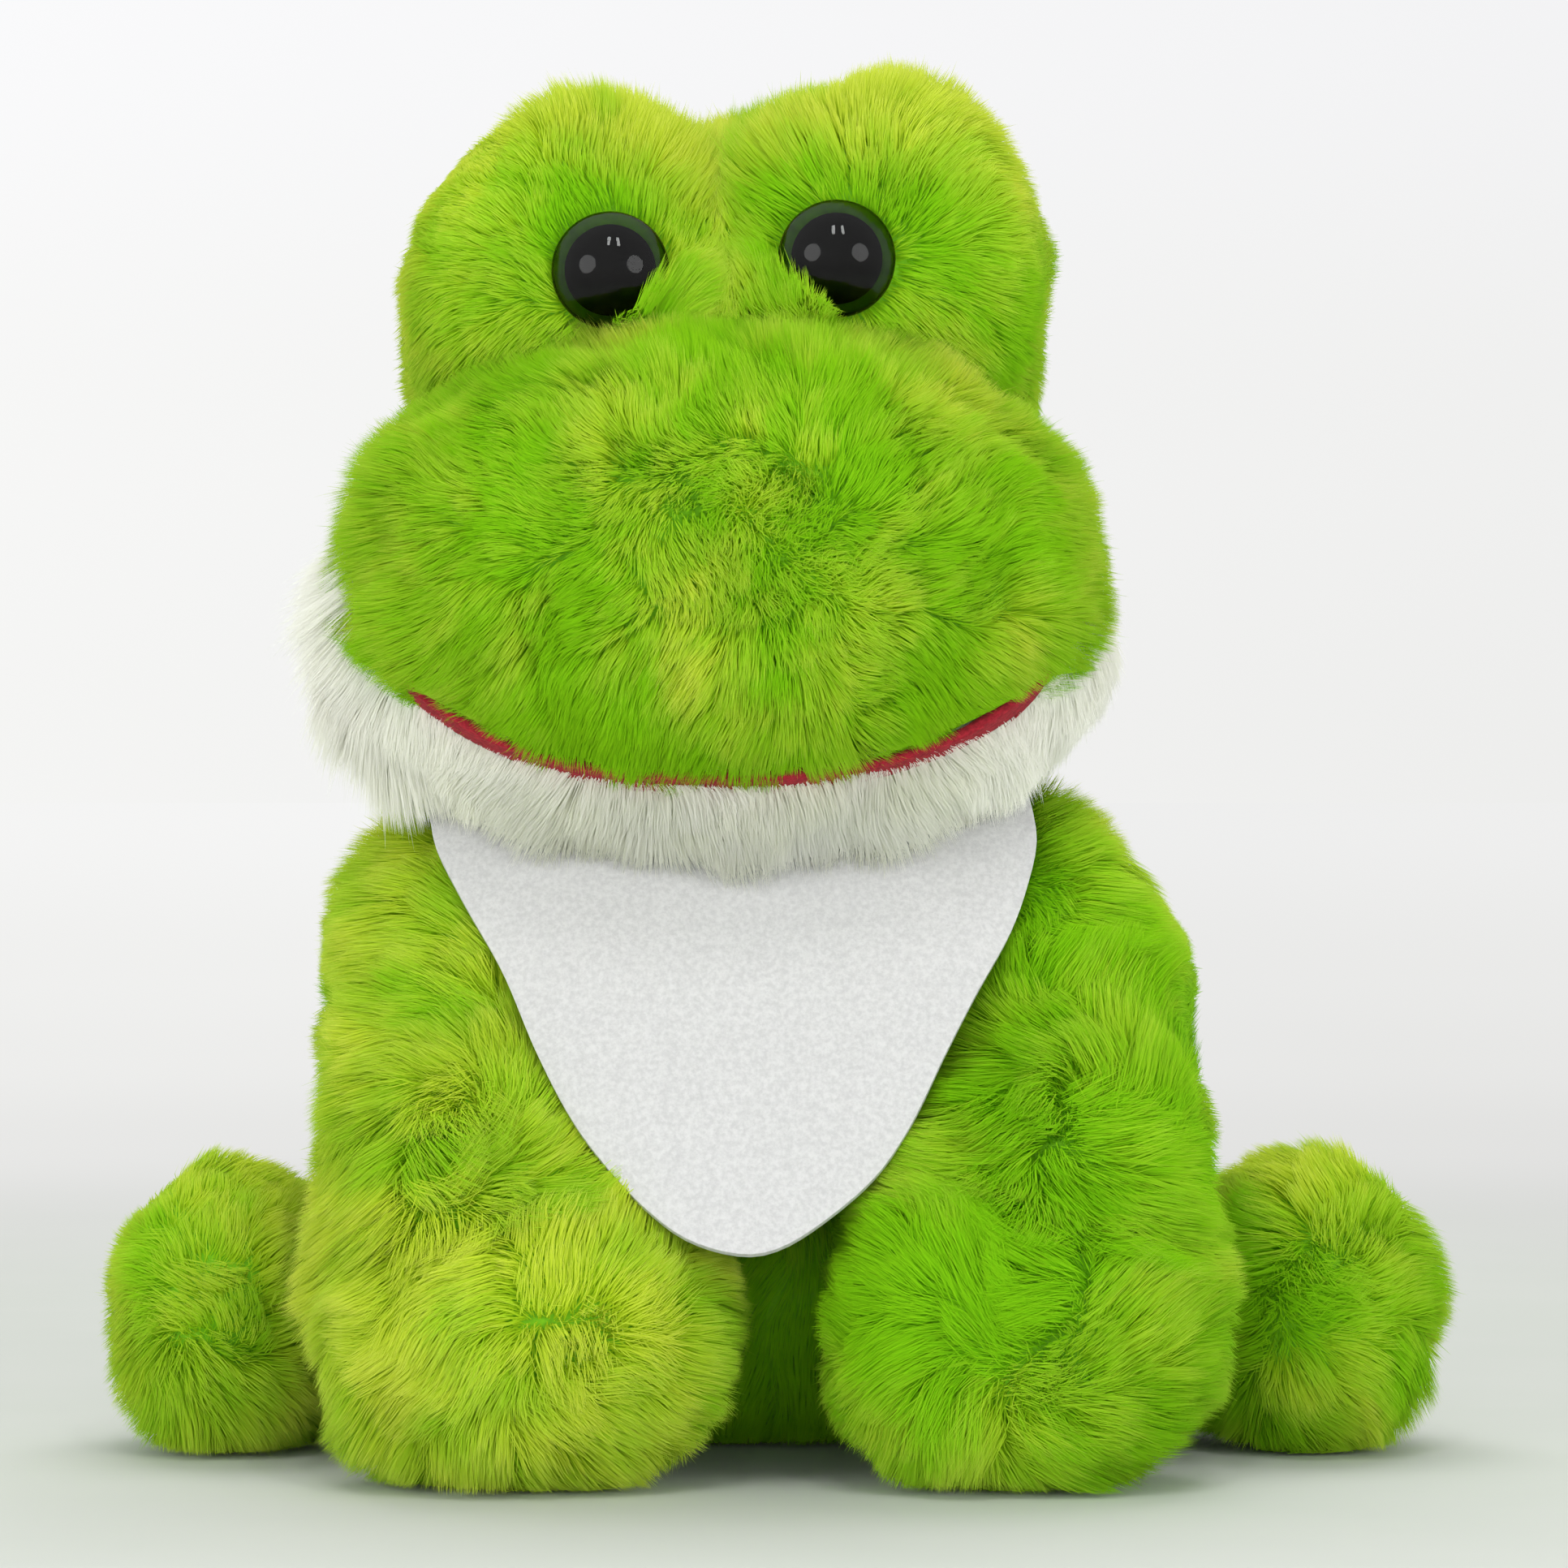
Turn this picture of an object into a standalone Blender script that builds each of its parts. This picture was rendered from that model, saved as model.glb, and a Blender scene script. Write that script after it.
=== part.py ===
"""A seated plush frog: stuffed body, neck, head, arms and legs, safety eyes and a bib.

Metres, +Z up, the frog faces -Y and sits on z = 0. The origin is the middle of the
body's seat. Each stuffed member is a fur fabric cover, open where it is sewn to its
neighbour, with its own filling inside. The fur's pile isn't modelled.
"""

import math

import bmesh
import bpy
import numpy as np
from mathutils import Matrix, Vector

# Fabric and sewing
COVER_WALL = 0.0020  # fabric backing with the pressed root of the pile
SEAM_GAP = 0.0003  # between a cover and its filling, and between sewn pieces
FLOOR_PRESS = 0.0012  # how far the round standing forms are pressed flat
CUT_OVERRUN = 0.010  # how far a cutter runs past what it cuts
RAY_REACH = 0.150  # longest way from the middle of a form to its skin
FORM_BLEND = 0.006  # how softly the lobes of one form run together

# Squareness of a lobe: 2 is an ellipsoid, more is fuller at its corners
ROUND_POWER = 2.0
PLUMP_POWER = 2.2
FULL_POWER = 2.4
BLUNT_POWER = 3.0

# Body
MIDLINE_X = 0.0
RUMP_HALF_WIDTH = 0.040
RUMP_HALF_DEPTH = 0.040
RUMP_HEIGHT = 0.070
RUMP_Y = 0.0
CHEST_HALF_WIDTH = 0.0298
CHEST_HALF_DEPTH = 0.0255
CHEST_HALF_HEIGHT = 0.026
CHEST_Y = -0.0165
TORSO_MIDDLE_SHARE = 0.75  # of the chest's height, where the torso's mesh spreads from

# Neck, a firm stuffed ball between the body and the head
NECK_X = -0.003
NECK_Y = -0.022
NECK_ABOVE_RUMP = 0.028
NECK_Z = RUMP_HEIGHT + NECK_ABOVE_RUMP
NECK_RADIUS = 0.025
NECK_CLEARANCE = 0.0008  # the ball turns in its sockets
CHEST_BELOW_NECK = 0.010  # from the neck's middle down to the chest's top

# Head, measured from the neck's middle
HEAD_X = -0.004
SKULL_HALF_WIDTH = 0.049
SKULL_HALF_DEPTH = 0.041
SKULL_HALF_HEIGHT = 0.054
SKULL_Y = 0.005
SKULL_ABOVE_NECK = 0.049
BROW_HALF_WIDTH = 0.0245
BROW_HALF_DEPTH = 0.028
BROW_HALF_HEIGHT = 0.027
BROW_SPACING = 0.051
BROW_Y = -0.011
BROW_ABOVE_NECK = 0.0875
HEAD_ROLL = math.radians(3.0)  # the photographed tilt, the frog's left side higher
MUZZLE_HALF_WIDTH = 0.056
MUZZLE_HALF_DEPTH = 0.044
MUZZLE_HALF_HEIGHT = 0.0345
MUZZLE_Y = -0.028
MUZZLE_ABOVE_NECK = 0.041
JAW_HALF_WIDTH = 0.0615
JAW_HALF_DEPTH = 0.038
JAW_HALF_HEIGHT = 0.035
JAW_Y = -0.022
JAW_ABOVE_NECK = 0.032
LINING_THICKNESS = 0.0011  # the red felt between the muzzle and the jaw
LINING_EDGE = 0.0010  # how far the felt stands out of the jaw

# Safety eyes
EYE_INSET = 0.00825  # from the middle of the brow towards the midline
EYE_ABOVE_NECK = 0.0875
LENS_RADIUS = 0.0090
LENS_HEIGHT = 0.0058
LENS_RIM = 0.0012
PUPIL_RADIUS = 0.0072
PUPIL_HEIGHT = 0.0036
LENS_RECESS_GAP = 0.0003  # between the pupil and the lens over it
SHANK_RADIUS = 0.0021
SHANK_LENGTH = 0.0085
SHANK_ROOM = 0.0013  # how much deeper the shank's hole is
WASHER_RADIUS = 0.0060
WASHER_THICKNESS = 0.0012
EYE_SEAT_DEPTH = 0.0008  # how far the lens presses into the cover
EYE_SEAT_MARGIN = 0.0004
WASHER_SETBACK = 0.0022  # room behind the cover's curved wall

# Arms, mirrored about the midline
ARM_FACE = 0.0310  # from the midline to the flat face sewn to the chest
SHOULDER_X = 0.0450
SHOULDER_Y = -0.0270
SHOULDER_BELOW_NECK = 0.0230
SHOULDER_Z = NECK_Z - SHOULDER_BELOW_NECK
SHOULDER_HALF_WIDTH = 0.0210
SHOULDER_RADIUS = 0.0180
SHOULDER_SEAT_RADIUS = 0.0150  # of the flat on the chest, wider than the arm's sweep
FOREARM_X = 0.0480
FOREARM_Y = -0.0490
FOREARM_Z = 0.0520
FOREARM_HALF_WIDTH = 0.0175
FOREARM_HALF_DEPTH = 0.0185
FOREARM_HALF_HEIGHT = 0.0280
PAW_X = 0.0365
PAW_Y = -0.0680
PAW_HALF_WIDTH = 0.0295
PAW_HALF_DEPTH = 0.0265
PAW_HEIGHT = 0.0510

# Legs, mirrored about the midline
LEG_FACE = 0.0403  # from the midline to the flat face sewn to the rump
HIP_Y = 0.0040
HIP_Z = 0.0260
THIGH_X = 0.0540
THIGH_HALF_WIDTH = 0.0215
THIGH_HALF_DEPTH = 0.0240
THIGH_HEIGHT = 0.0490
FOOT_X = 0.0865
FOOT_Y = -0.0160
FOOT_HALF_WIDTH = 0.0185
FOOT_HALF_DEPTH = 0.0255
FOOT_HEIGHT = 0.0485

# Bib and its neck band
BAND_THICKNESS = 0.0012
BAND_GAP = 0.0005  # between the neck and the band
BAND_TOP_ANGLE = math.radians(14.0)  # below the neck's equator
BAND_BOTTOM_ANGLE = math.radians(29.0)
TAB_WIDTH = 0.0120
TAB_HEIGHT = 0.0050
TAB_THICKNESS = 0.0014
BIB_THICKNESS = 0.0012
BIB_BELOW_NECK = 0.0055
BIB_TOP_Z = NECK_Z - BIB_BELOW_NECK
BIB_CORNER_RISE = 0.0085
BIB_TIP_Z = 0.0365
BIB_HALF_WIDTH = 0.0450
BIB_X = -0.0055
BIB_TIP_Y = -0.0880
BIB_CORNER_FORWARD = 0.0010  # the corners stand this far in front of the top's middle
BIB_FOLD_DEPTH = 0.0016
BIB_FOLDS = 2.5  # half waves from the middle to each side
BIB_SHOULDER_POWER = 1.35  # the outline is nearly straight from the corners down
BIB_TIP_POWER = 0.6  # and round at the tip

# Fineness of the forms: steps round, steps from pole to pole
TORSO_STEPS = (20, 11)
HEAD_STEPS = (26, 15)
MUZZLE_STEPS = (22, 12)
JAW_STEPS = (22, 11)
LIMB_STEPS = (16, 12)
NECK_STEPS = (20, 10)
TURNED_STEPS = 20
DOME_STEPS = 4
BAND_STEPS = 3
ROD_STEPS = 24
HALVINGS = 40  # of the search for a form's skin
BIB_STEPS = (12, 10)
MUZZLE_TURN = math.radians(4.0)  # keeps the sewn forms' edges from lining up
JAW_TURN = math.radians(5.0)

PARTS = bpy.data.collections.new("plush_frog")
CUTTERS = bpy.data.collections.new("cutters")
MERGE_DISTANCE = 0.0001


def clear_scene():
    for old in list(bpy.data.objects):
        bpy.data.objects.remove(old)
    bpy.context.scene.collection.children.link(PARTS)
    bpy.context.scene.collection.children.link(CUTTERS)


# Materials


def material(name, colour, roughness, metallic=0.0):
    made = bpy.data.materials.get(name)
    if made:
        return made
    made = bpy.data.materials.new(name)
    made.use_nodes = True
    shader = made.node_tree.nodes["Principled BSDF"]
    shader.inputs["Base Color"].default_value = (*colour, 1.0)
    shader.inputs["Roughness"].default_value = roughness
    shader.inputs["Metallic"].default_value = metallic
    made.diffuse_color = (*colour, 1.0)
    return made


def green_fur():
    return material("green_fur", (0.28, 0.55, 0.03), 0.9)


def white_fur():
    return material("white_fur", (0.74, 0.77, 0.70), 0.9)


def stuffing():
    return material("stuffing", (0.85, 0.85, 0.83), 0.95)


def red_felt():
    return material("red_felt", (0.36, 0.01, 0.02), 0.9)


def white_felt():
    return material("white_felt", (0.80, 0.80, 0.80), 0.9)


def clear_plastic():
    return material("clear_plastic", (0.03, 0.04, 0.02), 0.08)


def black_plastic():
    return material("black_plastic", (0.005, 0.005, 0.005), 0.15)


def washer_plastic():
    return material("washer_plastic", (0.75, 0.75, 0.72), 0.5)


# Objects, joints and cutters


def joint(name, place, parent=None):
    """An empty on a joint, the parent of every piece that the joint moves."""
    empty = bpy.data.objects.new(name, None)
    PARTS.objects.link(empty)
    empty["place"] = place
    empty.parent = parent
    origin = Vector(parent["place"]) if parent else Vector()
    empty.location = Vector(place) - origin
    return empty


def add_part(name, mesh, look, at):
    """A piece drawn in world coordinates, hung on the empty that moves it."""
    mesh.transform(Matrix.Translation(-Vector(at["place"])))
    part = bpy.data.objects.new(name, mesh)
    part.data.materials.append(look)
    part.parent = at
    PARTS.objects.link(part)
    mesh.shade_smooth()
    mesh.set_sharp_from_angle(angle=math.radians(40.0))
    return part


def add_cutter(name, mesh):
    cutter = bpy.data.objects.new(name, mesh)
    CUTTERS.objects.link(cutter)
    cutter.hide_render = True
    cutter.display_type = "WIRE"
    return cutter


def cut(part, *cutters, how="DIFFERENCE"):
    for cutter in cutters:
        step = part.modifiers.new(cutter.name, "BOOLEAN")
        step.operation = how
        step.solver = "EXACT"
        step.object = cutter


def box_mesh(name, low, high):
    shape = bmesh.new()
    bmesh.ops.create_cube(shape, size=1.0)
    size = Vector(high) - Vector(low)
    middle = (Vector(high) + Vector(low)) / 2
    for vertex in shape.verts:
        vertex.co = Vector(a * b for a, b in zip(vertex.co, size)) + middle
    mesh = bpy.data.meshes.new(name)
    shape.to_mesh(mesh)
    shape.free()
    return mesh


def rod_mesh(name, radius, low, high, steps):
    """A cylinder about the local Z axis from low to high."""
    shape = bmesh.new()
    bmesh.ops.create_cone(
        shape, cap_ends=True, segments=steps, radius1=radius, radius2=radius, depth=high - low
    )
    bmesh.ops.translate(shape, verts=shape.verts, vec=(0, 0, (high + low) / 2))
    mesh = bpy.data.meshes.new(name)
    shape.to_mesh(mesh)
    shape.free()
    return mesh


def turned_part(name, profile, closed, look):
    """A profile of (radius, height) points screwed about the local Z axis."""
    mesh = bpy.data.meshes.new(name)
    points = [(radius, 0, height) for radius, height in profile]
    edges = [(i, i + 1) for i in range(len(points) - 1)]
    if closed:
        edges.append((len(points) - 1, 0))
    mesh.from_pydata(points, edges, [])
    part = bpy.data.objects.new(name, mesh)
    part.data.materials.append(look)
    screw = part.modifiers.new("turn", "SCREW")
    screw.steps = TURNED_STEPS
    screw.render_steps = TURNED_STEPS
    screw.use_merge_vertices = True
    screw.merge_threshold = MERGE_DISTANCE
    screw.use_smooth_shade = True
    PARTS.objects.link(part)
    return part


# Soft forms


def lobe(middle, halves, round_xz=ROUND_POWER, round_y=ROUND_POWER):
    """One swelling of a stuffed form: a superellipsoid with its own squareness."""
    return {
        "middle": np.array(middle),
        "halves": np.array(halves),
        "round_xz": round_xz,
        "round_y": round_y,
    }


def lobe_distance(points, one, grow):
    """About how far points lie outside a lobe that is grown on every side."""
    halves = one["halves"] + grow
    across, forward, upward = np.abs((points - one["middle"]) / halves).T
    round_xz, round_y = one["round_xz"], one["round_y"]
    ring = across**round_xz + upward**round_xz
    reach = (ring ** (round_y / round_xz) + forward**round_y) ** (1 / round_y)
    return (reach - 1) * halves.min()


def form_distance(points, lobes, grow):
    """The lobes of one form, run together softly."""
    spread = [np.exp(-lobe_distance(points, one, grow) / FORM_BLEND) for one in lobes]
    return -FORM_BLEND * np.log(np.maximum(sum(spread), np.finfo(float).tiny))


def skin_length(middle, directions, lobes, grow):
    """How far the skin lies from the middle along each direction, by halving."""
    near = np.zeros(len(directions))
    far = np.full(len(directions), RAY_REACH)
    for _ in range(HALVINGS):
        half = (near + far) / 2
        inside = form_distance(middle + directions * half[:, None], lobes, grow) < 0
        near = np.where(inside, half, near)
        far = np.where(inside, far, half)
    return near


def soft_mesh(name, form, grow=0.0):
    """The form's skin: a ball whose points are pushed out or drawn in to the lobes."""
    shape = bmesh.new()
    around, along = form["steps"]
    bmesh.ops.create_uvsphere(shape, u_segments=around, v_segments=along, radius=1.0)
    lean = Vector((0, 0, 1)).rotation_difference(Vector(form["pole"])).to_matrix()
    spin = lean @ Matrix.Rotation(form["turn"], 3, "Z")
    bmesh.ops.rotate(shape, verts=shape.verts, matrix=spin)
    directions = np.array([vertex.co.normalized() for vertex in shape.verts])
    middle = np.array(form["middle"])
    lengths = skin_length(middle, directions, form["lobes"], grow)
    for vertex, direction, length in zip(shape.verts, directions, lengths):
        vertex.co = middle + direction * length
    bmesh.ops.triangulate(shape, faces=shape.faces, quad_method="FIXED")
    mesh = bpy.data.meshes.new(name)
    shape.to_mesh(mesh)
    shape.free()
    return mesh


def soft_form(lobes, middle, steps, pole=(0, 0, 1), turn=0.0):
    """A form whose mesh has its poles along one line and is turned about it."""
    return {"lobes": lobes, "middle": middle, "steps": steps, "pole": pole, "turn": turn}


def cover_and_filling(name, form, look, at, cutters):
    """A sewn cover with its filling, both cut by the same neighbours."""
    cover = add_part(name + "_cover", soft_mesh(name + "_cover", form), look, at)
    hollow = add_cutter(name + "_hollow", soft_mesh(name + "_hollow", form, -COVER_WALL))
    inside = -COVER_WALL - SEAM_GAP
    filling = add_part(name + "_filling", soft_mesh(name + "_filling", form, inside), stuffing(), at)
    cut(cover, hollow, *cutters)
    cut(filling, *cutters)
    return cover, filling


# Body


def neck_middle():
    return Vector((NECK_X, NECK_Y, NECK_Z))


def torso_form():
    rump_z = RUMP_HEIGHT / 2 - FLOOR_PRESS
    chest_z = NECK_Z - CHEST_BELOW_NECK - CHEST_HALF_HEIGHT
    rump = lobe(
        (MIDLINE_X, RUMP_Y, rump_z),
        (RUMP_HALF_WIDTH, RUMP_HALF_DEPTH, RUMP_HEIGHT / 2),
        FULL_POWER,
        PLUMP_POWER,
    )
    chest = lobe(
        (MIDLINE_X, CHEST_Y, chest_z),
        (CHEST_HALF_WIDTH, CHEST_HALF_DEPTH, CHEST_HALF_HEIGHT),
    )
    middle = (MIDLINE_X, (RUMP_Y + CHEST_Y) / 2, chest_z * TORSO_MIDDLE_SHARE)
    return soft_form([rump, chest], middle, TORSO_STEPS)


def ball_mesh(name, radius):
    shape = bmesh.new()
    around, along = NECK_STEPS
    bmesh.ops.create_uvsphere(shape, u_segments=around, v_segments=along, radius=radius)
    bmesh.ops.translate(shape, verts=shape.verts, vec=neck_middle())
    mesh = bpy.data.meshes.new(name)
    shape.to_mesh(mesh)
    shape.free()
    return mesh


def floor_cutter():
    reach = RAY_REACH
    return add_cutter("floor", box_mesh("floor", (-reach, -reach, -reach), (reach, reach, 0)))


def shoulder_seat(side, side_name):
    """The flat on the chest's side that an arm is sewn to and swings against."""
    mesh = rod_mesh("shoulder_seat", SHOULDER_SEAT_RADIUS, 0, CUT_OVERRUN, ROD_STEPS)
    mesh.transform(Matrix.Rotation(side * math.radians(90.0), 4, "Y"))
    seat_x = ARM_FACE - SEAM_GAP
    mesh.transform(Matrix.Translation(mirrored(side, seat_x, SHOULDER_Y, SHOULDER_Z)))
    return add_cutter(side_name + "_shoulder_seat", mesh)


def build_torso(at, floor, socket):
    seats = [shoulder_seat(-1, "right"), shoulder_seat(1, "left")]
    cover_and_filling("torso", torso_form(), green_fur(), at, [floor, socket, *seats])


def build_neck(at):
    add_part("neck", ball_mesh("neck", NECK_RADIUS), green_fur(), at)


# Head


def head_lobes():
    skull = lobe(
        (HEAD_X + NECK_X, NECK_Y + SKULL_Y, NECK_Z + SKULL_ABOVE_NECK),
        (SKULL_HALF_WIDTH, SKULL_HALF_DEPTH, SKULL_HALF_HEIGHT),
        FULL_POWER,
        PLUMP_POWER,
    )
    brows = []
    for side in (-1, 1):
        across = side * BROW_SPACING / 2
        lift = across * math.tan(HEAD_ROLL)
        middle = (NECK_X + HEAD_X + across, NECK_Y + BROW_Y, NECK_Z + BROW_ABOVE_NECK + lift)
        halves = (BROW_HALF_WIDTH, BROW_HALF_DEPTH, BROW_HALF_HEIGHT)
        brows.append(lobe(middle, halves, PLUMP_POWER, BLUNT_POWER))
    return [skull, *brows]


def head_form():
    middle = (NECK_X + HEAD_X, NECK_Y + BROW_Y / 2, NECK_Z + (SKULL_ABOVE_NECK + BROW_ABOVE_NECK) / 2)
    return soft_form(head_lobes(), middle, HEAD_STEPS)


def muzzle_form():
    middle = (NECK_X + HEAD_X, NECK_Y + MUZZLE_Y, NECK_Z + MUZZLE_ABOVE_NECK)
    halves = (MUZZLE_HALF_WIDTH, MUZZLE_HALF_DEPTH, MUZZLE_HALF_HEIGHT)
    lip = lobe(middle, halves, PLUMP_POWER, BLUNT_POWER)
    return soft_form([lip], middle, MUZZLE_STEPS, (0, 1, 0), MUZZLE_TURN)


def jaw_form():
    middle = (NECK_X + HEAD_X, NECK_Y + JAW_Y, NECK_Z + JAW_ABOVE_NECK)
    halves = (JAW_HALF_WIDTH, JAW_HALF_DEPTH, JAW_HALF_HEIGHT)
    return soft_form([lobe(middle, halves, ROUND_POWER, FULL_POWER)], middle, JAW_STEPS, turn=JAW_TURN)


def eye_places():
    """Where each eye's axis meets the head's skin, the frog's right eye first."""
    form = head_form()
    places = []
    for side in (-1, 1):
        across = side * (BROW_SPACING / 2 - EYE_INSET)
        height = NECK_Z + EYE_ABOVE_NECK + across * math.tan(HEAD_ROLL)
        start = np.array((NECK_X + HEAD_X + across, NECK_Y, height))
        reach = skin_length(start, np.array([(0.0, -1.0, 0.0)]), form["lobes"], 0.0)[0]
        places.append((start[0], start[1] - reach, height))
    return places


def arc(radius, height, base, count):
    """Points of a shallow dome from its top on the axis down to its rim."""
    ball = (radius**2 + height**2) / (2 * height)
    sweep = math.asin(min(1.0, radius / ball))
    if height > radius:
        sweep = math.pi - sweep
    steps = [sweep * i / count for i in range(count + 1)]
    return [(ball * math.sin(a), base + height - ball * (1 - math.cos(a))) for a in steps]


def lens_profile():
    outer = arc(LENS_RADIUS, LENS_HEIGHT - LENS_RIM, LENS_RIM, DOME_STEPS)
    recess = arc(PUPIL_RADIUS + LENS_RECESS_GAP, PUPIL_HEIGHT + LENS_RECESS_GAP, 0, DOME_STEPS)
    return [*outer, (LENS_RADIUS, 0), *reversed(recess)]


def pupil_profile():
    dome = arc(PUPIL_RADIUS, PUPIL_HEIGHT, 0, DOME_STEPS)
    return [*dome, (SHANK_RADIUS, 0), (SHANK_RADIUS, -SHANK_LENGTH), (0, -SHANK_LENGTH)]


def washer_profile(top):
    hole = SHANK_RADIUS + SEAM_GAP
    low = top - WASHER_THICKNESS
    return [(WASHER_RADIUS, top), (WASHER_RADIUS, low), (hole, low), (hole, top)]


def face_forward(part, place, at):
    """Turn a local +Z axis to the frog's front and set the part down at a place."""
    part.rotation_euler = (math.radians(90.0), 0, 0)
    part.location = Vector(place) - (Vector(at["place"]) if at else Vector())
    part.parent = at


def build_eye(side_name, skin_place, at):
    """A safety eye, with the cutters of its seat, shank hole and washer pocket."""
    x, y, z = skin_place
    seat = (x, y + EYE_SEAT_DEPTH, z)
    back = (x, y + EYE_SEAT_DEPTH - SEAM_GAP, z)
    washer_top = -(COVER_WALL + WASHER_SETBACK)
    lens = turned_part(side_name + "_eye_lens", lens_profile(), False, clear_plastic())
    pupil = turned_part(side_name + "_eye_pupil", pupil_profile(), False, black_plastic())
    washer = turned_part(side_name + "_eye_washer", washer_profile(washer_top), True, washer_plastic())
    for part in (lens, pupil, washer):
        face_forward(part, back, at)
    room = SHANK_LENGTH + SHANK_ROOM
    seat_mesh = rod_mesh("seat", LENS_RADIUS + EYE_SEAT_MARGIN, 0, CUT_OVERRUN, ROD_STEPS)
    hole_mesh = rod_mesh("hole", SHANK_RADIUS + SEAM_GAP, -room, CUT_OVERRUN, ROD_STEPS)
    pocket_low = washer_top - WASHER_THICKNESS - 2 * SEAM_GAP
    pocket_mesh = rod_mesh("pocket", WASHER_RADIUS + SEAM_GAP, pocket_low, CUT_OVERRUN, ROD_STEPS)
    cutters = {}
    for role, mesh in (("seat", seat_mesh), ("hole", hole_mesh), ("pocket", pocket_mesh)):
        cutters[role] = add_cutter(side_name + "_eye_" + role, mesh)
        face_forward(cutters[role], seat, None)
    return cutters


def build_head(at, socket):
    form = head_form()
    cover, filling = cover_and_filling("head", form, green_fur(), at, [socket])
    for side_name, place in zip(("right", "left"), eye_places()):
        cutters = build_eye(side_name, place, at)
        cut(cover, cutters["seat"], cutters["hole"])
        cut(filling, cutters["hole"], cutters["pocket"])
    return add_cutter("head_room", soft_mesh("head_room", form, SEAM_GAP))


def build_mouth(at, head_room, socket):
    """The muzzle over the jaw, with the red felt sewn in between."""
    muzzle, jaw = muzzle_form(), jaw_form()
    cover_and_filling("muzzle", muzzle, green_fur(), at, [head_room, socket])
    felt_top = add_cutter("felt_top", soft_mesh("felt_top", muzzle, SEAM_GAP))
    felt_edge = add_cutter("felt_edge", soft_mesh("felt_edge", jaw, LINING_EDGE))
    felt_low = SEAM_GAP + LINING_THICKNESS
    felt = add_part("mouth_felt", soft_mesh("mouth_felt", muzzle, felt_low), red_felt(), at)
    cut(felt, felt_edge, how="INTERSECT")
    cut(felt, felt_top, head_room, socket)
    mouth_room = add_cutter("mouth_room", soft_mesh("mouth_room", muzzle, felt_low + SEAM_GAP))
    cover_and_filling("jaw", jaw, white_fur(), at, [mouth_room, head_room, socket])


# Limbs


def mirrored(side, x, y, z):
    return (MIDLINE_X + side * x, y, z)


def arm_form(side):
    shoulder = lobe(
        mirrored(side, SHOULDER_X, SHOULDER_Y, SHOULDER_Z),
        (SHOULDER_HALF_WIDTH, SHOULDER_RADIUS, SHOULDER_RADIUS),
    )
    forearm = lobe(
        mirrored(side, FOREARM_X, FOREARM_Y, FOREARM_Z),
        (FOREARM_HALF_WIDTH, FOREARM_HALF_DEPTH, FOREARM_HALF_HEIGHT),
    )
    paw = lobe(
        mirrored(side, PAW_X, PAW_Y, PAW_HEIGHT / 2 - FLOOR_PRESS),
        (PAW_HALF_WIDTH, PAW_HALF_DEPTH, PAW_HEIGHT / 2),
        PLUMP_POWER,
        PLUMP_POWER,
    )
    return soft_form([shoulder, forearm, paw], forearm["middle"], LIMB_STEPS, (0, -0.6, 1))


def leg_form(side):
    thigh = lobe(
        mirrored(side, THIGH_X, HIP_Y, THIGH_HEIGHT / 2 - FLOOR_PRESS),
        (THIGH_HALF_WIDTH, THIGH_HALF_DEPTH, THIGH_HEIGHT / 2),
    )
    foot = lobe(
        mirrored(side, FOOT_X, FOOT_Y, FOOT_HEIGHT / 2 - FLOOR_PRESS),
        (FOOT_HALF_WIDTH, FOOT_HALF_DEPTH, FOOT_HEIGHT / 2),
        PLUMP_POWER,
        PLUMP_POWER,
    )
    middle = (thigh["middle"] + foot["middle"]) / 2
    return soft_form([thigh, foot], middle, LIMB_STEPS, (1, 0, 0))


def side_cutter(name, side, face, bottom):
    """What is above the bottom, on the body's side of a limb's flat sewn face."""
    inner = MIDLINE_X + side * face
    outer = MIDLINE_X - side * RAY_REACH
    low = (min(inner, outer), -RAY_REACH, bottom)
    high = (max(inner, outer), RAY_REACH, RAY_REACH)
    return add_cutter(name, box_mesh(name, low, high))


def build_limbs(root, floor):
    for side, side_name in ((-1, "right"), (1, "left")):
        shoulder = joint(
            side_name + "_shoulder_joint", mirrored(side, SHOULDER_X, SHOULDER_Y, SHOULDER_Z), root
        )
        face = side_cutter(side_name + "_arm_face", side, ARM_FACE, SHOULDER_Z - SHOULDER_RADIUS)
        cover_and_filling(side_name + "_arm", arm_form(side), green_fur(), shoulder, [floor, face])
        hip = joint(side_name + "_hip_joint", mirrored(side, LEG_FACE, HIP_Y, HIP_Z), root)
        face = side_cutter(side_name + "_leg_face", side, LEG_FACE, -CUT_OVERRUN)
        cover_and_filling(side_name + "_leg", leg_form(side), green_fur(), hip, [floor, face])


# Bib


def band_profile():
    """A zone of cloth that follows the neck below its equator."""
    inner = NECK_RADIUS + BAND_GAP
    outer = inner + BAND_THICKNESS
    span = BAND_BOTTOM_ANGLE - BAND_TOP_ANGLE
    angles = [BAND_TOP_ANGLE + span * i / BAND_STEPS for i in range(BAND_STEPS + 1)]
    down = [(outer * math.cos(a), -outer * math.sin(a)) for a in angles]
    up = [(inner * math.cos(a), -inner * math.sin(a)) for a in reversed(angles)]
    return down + up


def band_front():
    """The band's outer radius at the height where the bib is sewn to it."""
    outer = NECK_RADIUS + BAND_GAP + BAND_THICKNESS
    return outer * math.cos(BAND_TOP_ANGLE)


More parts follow.
